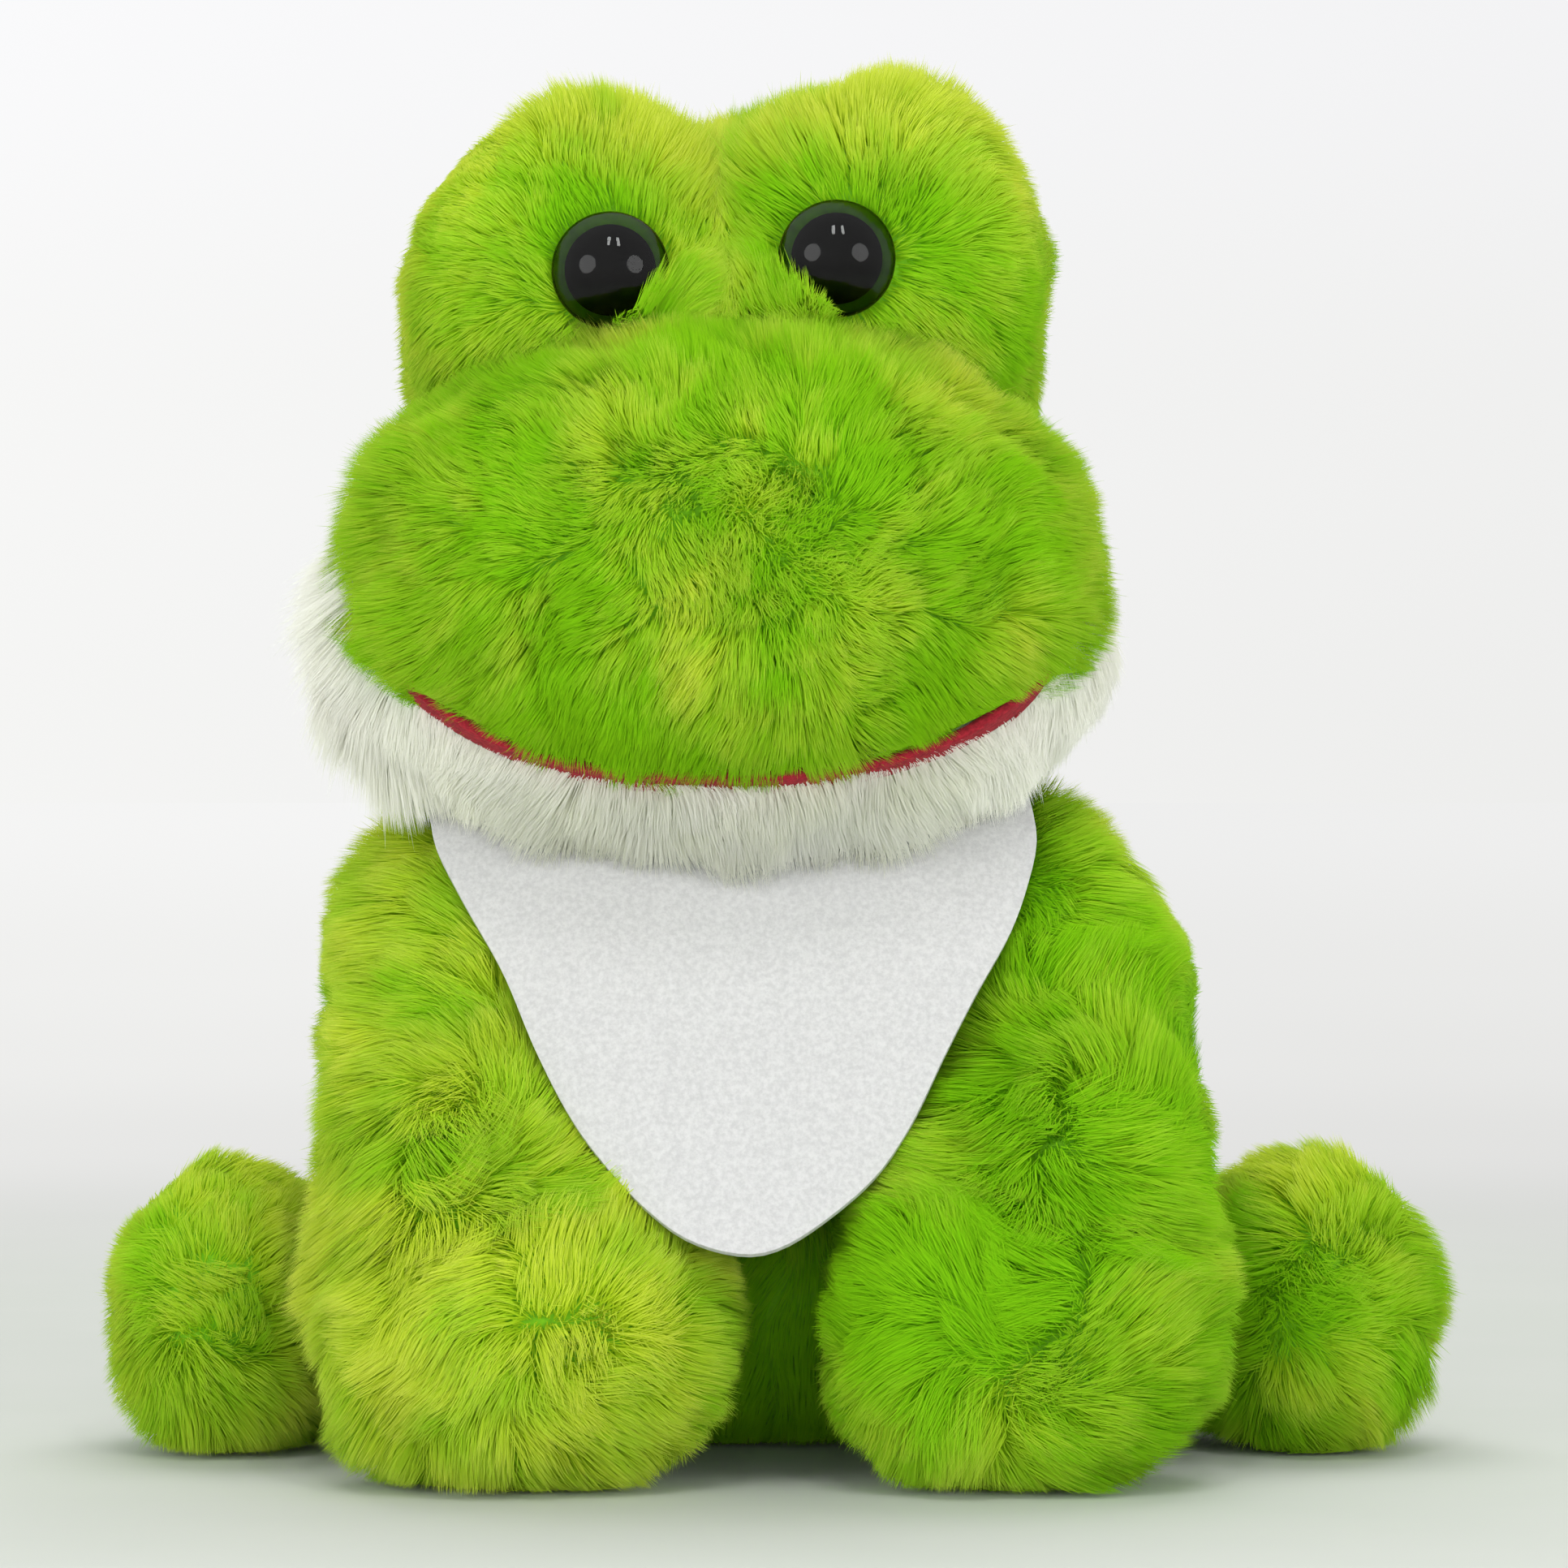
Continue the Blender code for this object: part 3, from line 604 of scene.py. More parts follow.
def flow_arm(side, start, end, wrist):
    """Down and outwards from the shoulder, and from whorls on the paw's seam and the wrist."""
    start, end = from_photo(*start, PAW_Y), from_photo(*end, PAW_Y)
    wrist = from_photo(*wrist, WRIST_Y)

    def flow(points, normals):
        down = np.array((side * 1.0, -0.1, -0.7))
        paw, apart = away_from_seam(points, start, end)
        fan = points - wrist
        far = np.maximum(np.linalg.norm(fan, axis=1), 3.0)
        outer = unit(paw / np.maximum(apart, 3.0)[:, None] ** 2 + fan / far[:, None] ** 3)
        near = np.minimum(apart, far)
        outer = whorl(outer, normals, near, 1.2, 17.0)
        low = smoothstep(92, 60, points[:, 2] - 0.2 * (points[:, 1] + 70))[:, None]
        return unit(down * (1 - low) + outer * low), 0.85 * hump(near, 8.0)

    return flow


def flow_leg(side, start, end):
    """From a whorl on the foot, and backwards on the thigh."""
    start, end = from_photo(*start, FOOT_Y), from_photo(*end, FOOT_Y)

    def flow(points, normals):
        outer, apart = away_from_seam(points, start, end)
        back = np.array((side * 0.3, 0.4, 0.1))
        thigh = smoothstep(72, 50, side * points[:, 0])[:, None]
        outer = whorl(outer, normals, apart, 1.2, 17.0)
        return unit(outer * (1 - thigh) + back * thigh), 0.85 * hump(apart, 8.0)

    return flow


# Pile


def coat(flow, length, lift, clumps, tone, density=7.0, top=0.50, mess=1.0, white=False):
    """A form's pile: length in mm, lift in degrees, clumps as the pull of tufts and of locks,
    tone from 0 dark to 1 light, in places painted light and shade, density per square mm,
    top as the painted light that upward faces gain, and mess as how far the strands stray.
    """
    return locals()


RIGHT_ARM_FLOW = flow_arm(-1, (700, 1668), (820, 1655), (583, 1373))
LEFT_ARM_FLOW = flow_arm(1, (1235, 1722), (1300, 1722), (1330, 1390))
# Tones: the torso's 0 is painted shade, where it lies deep between the arms and paws, and the right limbs' higher
# tones than the left ones are painted light on the key lamp's side
PILE = {
    "head": coat(flow_head, 7.0, 62, (0.28, 0.30), tone=0.42),
    "muzzle": coat(flow_muzzle, 6.8, 66, (0.30, 0.32), tone=0.19, density=8.5, top=0.08, mess=1.5),
    "jaw": coat(flow_jaw, 7.4, 56, (0.20, 0.15), tone=0.62, mess=1.1, white=True),
    "torso": coat(flow_down, 8.0, 44, (0.4, 0.4), tone=0.0, density=2.6),
    "neck": coat(flow_down, 5.0, 40, (0.4, 0.4), tone=0.3, density=1.0),
    "right_arm": coat(RIGHT_ARM_FLOW, 9.8, 42, (0.45, 0.45), tone=0.44, mess=1.4),
    "left_arm": coat(LEFT_ARM_FLOW, 9.8, 42, (0.45, 0.45), tone=0.36, mess=1.4),
    "right_leg": coat(flow_leg(-1, (205, 1600), (215, 1640)), 8.0, 46, (0.42, 0.42), tone=0.60, mess=1.4),
    "left_leg": coat(flow_leg(1, (1590, 1600), (1640, 1560)), 8.2, 46, (0.42, 0.42), tone=0.36, mess=1.4),
}
LIMBS = ["right_arm", "left_arm", "right_leg", "left_leg"]
HIDDEN_BY = {
    "head": ["muzzle", "jaw", "neck"],
    "muzzle": ["head"],
    "jaw": ["muzzle", "head", "neck"],
    "torso": ["neck", *LIMBS],
    "neck": ["torso", "head", "muzzle", "jaw"],
    **dict.fromkeys(LIMBS, ["torso"]),
}
STEPS = 3  # points along a strand
STRAND_WIDTHS = (0.20, 0.17, 0.0)
STRAND_ROLL = 0.6
ROUNDING = 0.8  # how much a strand is shaded as the form below it
MOST_STRANDS = 65_000  # in one piece
THINNING = 1.0 if FINE else 0.3
THIN_WIDENING = 1.8  # of each strand, where the pile is thinned
TUFT_SPACING, LOCK_SPACING = 7.5, 2.4
GATHER_KEEP = 0.5  # how much of its own offset a gathered strand's tip keeps


def scatter(name, density, rng):
    """Roots spread evenly over the part of a form's skin that its neighbours leave free."""
    corners = skin_points(name)[BALL_FACES]
    areas = np.linalg.norm(np.cross(corners[:, 1] - corners[:, 0], corners[:, 2] - corners[:, 0]), axis=1) / 2
    count = int(areas.sum() * density)
    chosen = rng.choice(len(areas), count, p=areas / areas.sum())
    a, b = rng.uniform(size=(2, count))
    over = a + b > 1
    a[over], b[over] = 1 - a[over], 1 - b[over]
    first, second, third = np.moveaxis(corners[chosen], 1, 0)
    roots = first + (second - first) * a[:, None] + (third - first) * b[:, None]
    for _ in range(2):
        roots -= outward(roots, FORMS[name]) * distance(roots, FORMS[name], SKIN_DEPTH)[:, None]
    free = np.ones(count, bool)
    for other in HIDDEN_BY[name]:
        free &= distance(roots, FORMS[other], SKIN_DEPTH) > -1.5
    side = side_of(name)
    if name.endswith("arm"):
        free &= (side * roots[:, 0] > ARM_FACE - 1) | (roots[:, 2] < ARM_FACE_BOTTOM)
    if name.endswith("leg"):
        free &= side * roots[:, 0] > LEG_FACE - 1
    free &= roots[:, 2] > 0.2
    if name == "head":
        for eye in EYES:
            apart = np.hypot(roots[:, 0] - eye[0], roots[:, 2] - eye[2])
            free &= (apart > EYE_RADIUS - 0.6) | (roots[:, 1] > -45)
    return with_more_by_eyes(roots[free]) if name == "head" else roots[free]


def with_more_by_eyes(roots):
    """Roots with twice as many more where the pile laps over the eyes."""
    for eye in EYES:
        lap, near, _ = eye_lap(roots, eye)
        more = roots[(lap > 0.3) & (near < 12.5) & (roots[:, 1] < -45)]
        for shift in (-0.35, 0.35):
            roots = np.vstack([roots, more + np.array((shift, 0.1, 0.2))])
    return roots


def nearest(points, centres):
    tree = KDTree(len(centres))
    for i, centre in enumerate(centres):
        tree.insert(centre, i)
    tree.balance()
    return np.array([tree.find(point)[1] for point in points])


def gather(lines, spacing, density, strength, rng):
    """Draw strands together into clumps about a leader of each, and say who leads whom."""
    count = max(1, int(len(lines) / (density * spacing**2)))
    leaders = rng.choice(len(lines), count, replace=False)
    mine = leaders[nearest(lines[:, 0], lines[leaders, 0])]
    strong = strength * rng.uniform(0.5, 1.3, len(lines))[mine].clip(0, 1)
    offset = (lines[:, 0] - lines[mine, 0])[:, None]
    along = np.linspace(0, 1, STEPS) ** 1.3
    target = lines[mine] + offset * GATHER_KEEP
    return lines + (target - lines) * (strong[:, None] * along)[..., None], mine


def push_out(points, lobes, grow):
    """Points inside a form are set on it."""
    depth = -distance(points, lobes, grow)
    inside = depth > 0
    if inside.any():
        normals = outward(points[inside], lobes)
        points[inside] += normals * np.minimum(depth[inside], 6.0)[:, None]
    return points


def mouth_line(x):
    """The height of the mouth's line, which rises to the corners."""
    return 106.3 + 0.0064 * (x - HEAD_X) ** 2


def jaw_ends(roots):
    return smoothstep(22, 50, np.abs(roots[:, 0] - HEAD_X))


# What each limb's pile loses: on the paw's inner side (between two distances from the middle),
# on the upper arm's outer side, on the shoulder, and on the leg's top and outer side
ARM_TRIM = {
    -1: dict(inner_from=18, inner_to=8, inner=0.05, outer=0.45, shoulder=0.0),
    1: dict(inner_from=26, inner_to=12, inner=0.65, outer=0.72, shoulder=0.50),
}
LEG_TRIM = {-1: dict(top=0.55, outer=0.34), 1: dict(top=0.25, outer=0.0)}


def trim_head(x, y, z, roots, normals):
    share = np.ones(len(roots))
    outer = np.abs(x - HEAD_X)
    up = smoothstep(0.5, 0.95, normals[:, 2]) * smoothstep(195, 208, z)
    share -= 0.55 * smoothstep(28, 42, outer)  # the head's sides
    for eye in EYES:  # longer where it laps over an eye, short round the rest of it
        lap, near, _ = eye_lap(roots, eye)
        share += (0.55 * lap - 0.30 * (1 - lap)) * smoothstep(15, 9, near) * (y < FACE_Y)
    # the tops of the left and the right mound
    share += 0.30 * up * smoothstep(5, 15, x) + 0.35 * up * smoothstep(-9, -20, x) * smoothstep(-38, -30, x)
    share -= 0.62 * smoothstep(-30, -41, x) * smoothstep(186, 198, z)  # the right mound's outer side
    share += 0.40 * smoothstep(16, 6, np.abs(x + 5.0)) * smoothstep(190, 200, z)  # between the mounds
    return share


def trim(name, roots, normals):
    """How much of its length the pile keeps from place to place, as the photograph's outline shows it."""
    x, y, z = roots.T
    share = np.ones(len(roots))
    side = side_of(name)
    outer = np.abs(x - HEAD_X)
    if name == "head":
        share = trim_head(x, y, z, roots, normals)
    if name == "muzzle":
        share -= 0.25 * smoothstep(8, 1, z - mouth_line(x)) * (y < -30)  # the lip
        share += 0.12 * smoothstep(140, 155, z) * smoothstep(34, 48, outer)  # the upper corners
        share += 0.28 * smoothstep(-40, -56, x)  # the right side
        share += 0.45 * smoothstep(138, 126, z) * smoothstep(36, 48, outer)  # the lower corners
        share += 0.30 * smoothstep(158, 168, z)  # the top
    if name == "jaw":
        share += 0.85 * smoothstep(-50, -62, x)  # the right end
        share -= 0.35 * smoothstep(38, 50, x)  # the left end
        share += 0.20 * smoothstep(-0.5, -0.9, normals[:, 2])  # the underside
    if name.endswith("arm"):
        cut = ARM_TRIM[side]
        inner = smoothstep(cut["inner_from"], cut["inner_to"], np.abs(x)) * smoothstep(56, 46, z)
        share -= inner * cut["inner"]
        # longer over the hollow between forearm and paw
        share += 0.35 * smoothstep(14, 4, np.abs(z - 54)) * smoothstep(-60, -72, y) * smoothstep(56, 48, np.abs(x))
        share -= cut["outer"] * smoothstep(0.5, 0.95, side * normals[:, 0]) * smoothstep(40, 54, z)
        share -= cut["shoulder"] * smoothstep(0.1, 0.5, normals[:, 0]) * smoothstep(80, 90, z)
    if name.endswith("leg"):
        cut = LEG_TRIM[side]
        share -= cut["top"] * smoothstep(0.2, 0.8, normals[:, 2])
        share -= cut["outer"] * smoothstep(0.3, 0.9, side * normals[:, 0])
    return np.maximum(share, 0.25)


def combed(look, roots, normals, seed, rng):
    """The directions in which the strands lie, with waves and stray strands in them."""
    flow, stand = look["flow"](roots, normals)
    flow = unit(flow - normals * (flow * normals).sum(axis=1, keepdims=True))
    across = np.cross(normals, flow)
    stray = 0.30 * waves(roots, 34.0, seed + 1) + 0.26 * waves(roots, 12.0, seed + 2)
    stray = stray + rng.normal(0, 0.24, len(roots))
    stray = stray * look["mess"]
    stray = stray + stand * rng.uniform(-2.5, 2.5, len(roots))
    return flow * np.cos(stray)[:, None] + across * np.sin(stray)[:, None]


def length_and_lift(name, look, roots, normals, seed, rng):
    """Trimmed pile lies flatter, and is only a little shorter."""
    length = look["length"] * (1 + 0.12 * waves(roots, 15.0, seed + 3) + rng.normal(0, 0.10, len(roots)))
    length = np.clip(length, 0.6 * look["length"], 1.3 * look["length"])
    share = trim(name, roots, normals)
    length = length * np.where(share < 1, share**0.35, share)
    length[rng.uniform(size=len(roots)) < 0.02] *= 1.25
    lift = np.arcsin(math.sin(math.radians(look["lift"])) * np.minimum(share, 1) ** 0.65)
    lift = lift + 0.14 * waves(roots, 9.0, seed + 4) + rng.normal(0, 0.14, len(roots))
    if name == "jaw":
        lift *= 1 - 0.40 * jaw_ends(roots)
    if name == "head":
        for eye in EYES:
            lap, near, _ = eye_lap(roots, eye)
            lift -= 0.42 * lap * by_eye(roots, near)
    return length, lift


def clear_of_eyes(points, k):
    """Strands end at an eye's rim, or lie on its dome where they lap over it."""
    for eye in EYES:
        lap, near, apart = eye_lap(points, eye)
        rim = EYE_RADIUS + 0.1 - lap * 4.2 * (k / (STEPS - 1))
        inside = (near < rim) & (points[:, 1] < FACE_Y)
        wanted = apart * (rim / np.maximum(near, 0.1))[:, None]
        points[inside, 0] = (eye[0] + wanted[:, 0])[inside]
        points[inside, 2] = (eye[2] + wanted[:, 1])[inside]
        reach = np.clip(np.maximum(near, rim), 0, EYE_RADIUS)
        front = eye[1] - EYE_FRONT + EYE_BALL - np.sqrt(EYE_BALL**2 - reach**2) - 0.4 * k
        over = (np.maximum(near, rim) < EYE_RADIUS) & (points[:, 1] < FACE_Y)
        points[over, 1] = np.minimum(points[over, 1], front[over])
    return points


def clear_of_all(name, points, k, fringe):
    """The strands' k-th points, kept off the forms, the bib, the eyes, the mouth and the ground."""
    points = push_out(points, FORMS[name], SKIN_DEPTH + 0.5 * k)
    for other in HIDDEN_BY[name]:
        if other != "neck":
            points = push_out(points, FORMS[other], SKIN_DEPTH + 0.8 * k)
    if name not in ("head", "muzzle", "jaw"):
        behind = bib_depth(points[:, 0], points[:, 2]) + 1.0
        under = in_bib(points[:, 0], points[:, 2]) > -0.8
        points[:, 1] = np.where(under, np.maximum(points[:, 1], behind), points[:, 1])
    if name == "head":
        points = clear_of_eyes(points, k)
    line = mouth_line(points[:, 0])
    past = np.maximum(np.abs(points[:, 0] - HEAD_X) - 50.0, 0)
    front = points[:, 1] < -30
    if name == "muzzle":
        lowest = line + fringe - 0.6 * past * (points[:, 0] > 0)
        points[:, 2] = np.where(front, np.maximum(points[:, 2], lowest), points[:, 2])
    if name == "jaw":
        highest = line - 0.4 + 3.0 * past
        points[:, 2] = np.where(front, np.minimum(points[:, 2], highest), points[:, 2])
    points[:, 2] = np.maximum(points[:, 2], 0.45 + 0.1 * k)
    return points


def shade(name, roots):
    """How much painted shade darkens the pile from place to place, and painted light lightens it where the value
    is below 0, as the photograph shows it.
    """
    x, _, z = roots.T
    dark = np.zeros(len(roots))
    # painted shade above each eye, where the brow shades it
    if name == "head":
        for eye in EYES:
            _, near, apart = eye_lap(roots, eye)
            dark += 0.35 * smoothstep(0.0, 0.8, apart[:, 1] / np.maximum(near, 1)) * by_eye(roots, near)
    # painted light on the muzzle's outer edges
    if name == "muzzle":
        dark -= 0.30 * smoothstep(44, 60, np.abs(x - HEAD_X))
    # painted light on the jaw's ends, which lie in shade
    if name == "jaw":
        dark -= 0.40 * jaw_ends(roots)
    # painted light on the right paw below the wrist, on the key lamp's side
    if name == "right_arm":
        dark -= 0.20 * smoothstep(58, 44, z)
    # painted shade on the left arm above the paw, most on its inner side
    if name == "left_arm":
        dark += (0.26 + 0.34 * smoothstep(50, 36, x)) * smoothstep(18, 34, z)
    return dark


def grow_pile(name, look, seed):
    """A form's strands as lines, with the normals that set their shading, and their tones with painted light and
    shade in them.
    """
    rng = np.random.default_rng(seed)
    density = look["density"] * THINNING
    roots = scatter(name, density, rng)
    normals = outward(roots, FORMS[name])
    flow = combed(look, roots, normals, seed, rng)
    length, lift = length_and_lift(name, look, roots, normals, seed, rng)
    lines = np.zeros((len(roots), STEPS, 3))
    lines[:, 0] = roots
    for k in range(1, STEPS):
        bend = lift * (1.12 - 0.27 * (k - 1))
        step = normals * np.sin(bend)[:, None] + flow * np.cos(bend)[:, None]
        lines[:, k] = lines[:, k - 1] + unit(step) * (length / (STEPS - 1))[:, None]
        lines[:, k, 2] -= 0.25 * k

    lines, tuft = gather(lines, TUFT_SPACING, density, look["clumps"][0], rng)
    lines, lock = gather(lines, LOCK_SPACING, density, look["clumps"][1], rng)
    fringe = 1.5 * waves(roots, 7.0, seed + 8) + rng.normal(0, 0.5, len(roots)) - 0.4
    fringe = np.minimum(fringe + 0.8 * smoothstep(5, 25, roots[:, 0]), 0.7)
    for k in range(1, STEPS):
        lines[:, k] = clear_of_all(name, lines[:, k], k, fringe)

    # painted light on upward-facing pile and painted shade on downward-facing pile
    up, down = smoothstep(0.0, 1.0, normals[:, 2]), smoothstep(0.0, -1.0, normals[:, 2])
    tone = look["tone"] + look["top"] * up - 0.15 * down
    tone += 0.15 * waves(roots, 28.0, seed + 5) + 0.10 * waves(roots, 9.0, seed + 6)
    tone += 0.08 * rng.normal(size=len(roots))[lock] + 0.07 * rng.normal(size=len(roots))[tuft]
    tone = np.clip(tone - shade(name, roots) + 0.07 * rng.normal(size=len(roots)), 0.02, 0.98)
    if name == "jaw":  # its ends are shaded as if they faced the front
        normals = unit(normals + 1.1 * jaw_ends(roots)[:, None] * np.array((0.0, -0.9, 0.45)))
    return lines, normals, tone


def blades(left, right, tips):
    """The points of every strand's blade: left and right by turns, then the tip."""
    points = np.empty((len(left), 2 * STEPS - 1, 3), np.float32)
    points[:, 0:-1:2] = left[:, :-1]
    points[:, 1:-1:2] = right[:, :-1]
    points[:, -1] = tips[:, -1]
    return points


def strand_mesh(name, lines, normals, tone, widths, rng):
    """Every strand is a thin tapered blade that lies with its face outwards."""
    count = len(lines)
    ahead = unit(np.diff(lines, axis=1, append=lines[:, -1:] * 2 - lines[:, -2:-1]))
    roll = rng.uniform(-STRAND_ROLL, STRAND_ROLL, count)[:, None, None]
    side = unit(np.cross(ahead, normals[:, None]))
    up = np.cross(side, ahead)
    side = side * np.cos(roll) + up * np.sin(roll)
    half = side * (np.array(widths)[None, :, None] / 2)
    points = blades(lines - half, lines + half, lines)
    corners, along, starts = [], [], []
    for k in range(STEPS - 2):
        starts.append(len(corners))
        corners += [2 * k, 2 * k + 1, 2 * k + 3, 2 * k + 2]
        along += [k, k, k + 1, k + 1]
    starts.append(len(corners))
    corners += [2 * STEPS - 4, 2 * STEPS - 3, 2 * STEPS - 2]
    along += [STEPS - 2, STEPS - 2, STEPS - 1]
    per_strand = len(corners)
    mesh = bpy.data.meshes.new(name)
    mesh.vertices.add(count * (2 * STEPS - 1))
    mesh.vertices.foreach_set("co", (points * MM).ravel())
    mesh.loops.add(count * per_strand)
    shift = np.arange(count)[:, None]
    corners = np.array(corners) + shift * (2 * STEPS - 1)
    mesh.loops.foreach_set("vertex_index", corners.ravel().astype(np.int32))
    mesh.polygons.add(count * len(starts))
    starts = np.array(starts) + shift * per_strand
    mesh.polygons.foreach_set("loop_start", starts.ravel().astype(np.int32))
    spots = np.empty((count, per_strand, 2), np.float32)
    spots[..., 0] = 0.01 + 0.98 * np.array(along) / (STEPS - 1)
    spots[..., 1] = tone[:, None]
    for map_name in ("strand", "OFBake"):
        layer = mesh.uv_layers.new(name=map_name)
        layer.uv.foreach_set("vector", spots.ravel())
    mesh.update(calc_edges=True)
    mesh.shade_smooth()
    facing = np.cross(side, ahead)
    facing = facing * np.sign((facing * normals[:, None]).sum(axis=2, keepdims=True))
    soft = unit(normals[:, None] * ROUNDING + unit(facing) * (1 - ROUNDING))
    layer = mesh.attributes.new("custom_normal", "FLOAT_VECTOR", "POINT")
    layer.data.foreach_set("vector", blades(soft, soft, soft).ravel())
    return mesh


def make_pile():
    widths = np.array(STRAND_WIDTHS)
    if not FINE:
        widths = widths * THIN_WIDENING
    for seed, (name, look) in enumerate(PILE.items()):
        lines, normals, tone = grow_pile(name, look, 100 * seed + 7)
        rng = np.random.default_rng(seed)
        middle = MIDDLES[name]
        order = np.argsort(np.arctan2(lines[:, 0, 1] - middle[1], lines[:, 0, 0] - middle[0]))
        parts = math.ceil(len(order) / MOST_STRANDS)
        for i, chosen in enumerate(np.array_split(order, parts)):
            piece_name = f"{name}_pile_{i + 1}"
            mesh = strand_mesh(piece_name, lines[chosen], normals[chosen], tone[chosen], widths, rng)
            piece = bpy.data.objects.new(piece_name, mesh)
            scene.collection.objects.link(piece)
            mesh.materials.append(WHITE if look["white"] else GREEN)
            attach(piece, BODIES.get(name, name))


# Eyes

ROUND_STEPS = 64
DOME_STEPS = 16
SHARP_ANGLE = math.radians(50)


def turned(name, profile, place, material):
    """A profile of (radius, height) turned about a line that looks forward, on the head."""
    points, faces, rings = [], [], []
    for radius, height in profile:
        if radius < 1e-6:
            rings.append([len(points)])
            points.append((0, -height, 0))
            continue
        rings.append(list(range(len(points), len(points) + ROUND_STEPS)))
        for i in range(ROUND_STEPS):
            a = 2 * math.pi * i / ROUND_STEPS
            points.append((radius * math.cos(a), -height, radius * math.sin(a)))
    for upper, lower in zip(rings, rings[1:]):
        for i in range(ROUND_STEPS):
            j = (i + 1) % ROUND_STEPS
            if len(upper) == 1:
                faces.append((upper[0], lower[j], lower[i]))
            elif len(lower) == 1:
                faces.append((upper[i], upper[j], lower[0]))
            else:
                faces.append((upper[i], upper[j], lower[j], lower[i]))
    made = add_mesh(name, np.array(points) + place, faces, material)
    shape = bmesh.new()
    shape.from_mesh(made.data)
    bmesh.ops.recalc_face_normals(shape, faces=shape.faces)
    shape.to_mesh(made.data)
    shape.free()
    made.data.set_sharp_from_angle(angle=SHARP_ANGLE)
    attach(made, "head")
    return made


def dome(radius, height, base):
    """A ball's cap as a profile, from its top to its rim."""
    sphere = (radius**2 + height**2) / (2 * height)
    sweep = math.asin(min(1.0, radius / sphere))
    turns = [sweep * i / DOME_STEPS for i in range(DOME_STEPS + 1)]
    return [(sphere * math.sin(t), base + height - sphere * (1 - math.cos(t))) for t in turns]


def make_eyes():
    """Each eye's clear dome, and the pupil behind it with its shank."""
    parts = (
        ("lens", [*dome(EYE_RADIUS, EYE_DOME, EYE_BASE), (9.0, 0.3), (8.7, 0.0), (0.0, 0.0)], LENS),
        ("pupil", [*dome(6.2, 3.9, 0.2), (6.1, 0.1), (2.1, 0.1), (2.1, -8.5), (0.0, -8.5)], PUPIL),
    )
    for side, spot in zip(("right", "left"), EYES):
        for part, profile, material in parts:
            piece = turned(f"{side}_{part}", profile, spot, material)
            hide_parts(f"{side}_eye_{part}")


# Mouth

FELT_WIDTH = 9.0
FELT_THICKNESS = 1.5
FELT_SHOWS = 2.6  # how far outside the jaw's form the felt reaches
FELT_TAPER = 5.0  # how much farther in it ends at the mouth's corners


def make_mouth():
    """The red felt's edge between the lip and the jaw, following the lip's underside."""
    middle = np.array(MIDDLES["muzzle"], float)
    rows = []
    for angle in np.radians(np.linspace(-158, -22, 160)):
        flat = np.array((math.cos(angle), math.sin(angle), 0))
        lift = np.radians(np.linspace(-70, 25, 500))
        rays = flat * np.cos(lift)[:, None] + np.array((0, 0, 1)) * np.sin(lift)[:, None]
        skin = surface(middle, rays, FORMS["muzzle"], 0.6, 24)
        out = distance(skin, FORMS["jaw"], 0.0)
        corner = smoothstep(math.radians(64), math.radians(68), abs(angle + math.pi / 2))
        past = np.nonzero(out > FELT_SHOWS - FELT_TAPER * corner)[0]
        edge = past[0] if len(past) else 0
        from_edge = np.linalg.norm(skin - skin[edge], axis=1)[: edge + 1]
        wanted = np.linspace(FELT_WIDTH, 0.0, 7)
        rows.append(np.stack([np.interp(-wanted, -from_edge, skin[: edge + 1, i]) for i in range(3)], axis=1))
    grid = np.array(rows)
    grid[:, -1, 2] += 0.25 * np.sin(np.linspace(0, 90, len(grid)))
    count, wide = grid.shape[:2]
    faces = []
    for i in range(count - 1):
        for j in range(wide - 1):
            a = i * wide + j
            faces.append((a, a + 1, a + wide + 1, a + wide))
    felt = add_mesh("mouth_felt_edge", grid.reshape(-1, 3), faces, RED_FELT, "head")
    thicken(felt, FELT_THICKNESS)
    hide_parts("mouth_felt")


# Bib and band

BIB_THICKNESS = 1.2
BIB_ROUNDING = 0.35


def make_bib():
    """The bib as rows from edge to edge, down to its tip."""
    edge = bib_outline(2 * BIB_ROWS + 1)
    low = len(edge) // 2
    left, right = edge[:low], edge[low + 1 :][::-1]
    points, faces = [], []
    for a, b in zip(left, right):
        for i in range(BIB_COLUMNS + 1):
            x, z = a + (b - a) * (i / BIB_COLUMNS)
            points.append((x, bib_depth(x, z), z))
    for j in range(low - 1):
        for i in range(BIB_COLUMNS):
            k = j * (BIB_COLUMNS + 1) + i
            faces.append((k, k + BIB_COLUMNS + 1, k + BIB_COLUMNS + 2, k + 1))
    last, tip = (low - 1) * (BIB_COLUMNS + 1), len(points)
    x, z = edge[low]
    points = np.vstack([points, (x, bib_depth(x, z), z)])
    for i in range(BIB_COLUMNS):
        faces.append((last + i, tip, last + i + 1))
    bib = add_mesh("bib_cloth", points, faces, BIB_FELT, "bib")
    area = sum(f.area for f in bib.data.polygons)
    thicken(bib, BIB_THICKNESS)
    soft = bib.modifiers.new("edge", "BEVEL")
    soft.width = BIB_ROUNDING * MM
    soft.segments = 2
    soft.limit_method = "ANGLE"
    soft.angle_limit = SHARP_ANGLE
    wide = (points[:, 0].max() - points[:, 0].min()) * MM
    tall = float(np.hypot(points[0, 2] - z, points[0, 1] - points[-1, 1])) * MM
    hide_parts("bib")


CAD_LOOKS = {"bib_band": BIB_FELT, "bib_fastener": BIB_FELT, "right_eye_washer": WASHER, "left_eye_washer": WASHER}


def dress_cad():
    """The CAD's own solids that are kept as they are."""
    for name, material in CAD_LOOKS.items():
        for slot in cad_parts[name].material_slots:
            slot.material = material


# Stage

FLOOR_RADIUS = 15000
FLOOR_SIDES = 96
FLOOR_PAINT = [(0.3, (0.640, 0.670, 0.620)), (0.7, (0.655, 0.680, 0.635))]
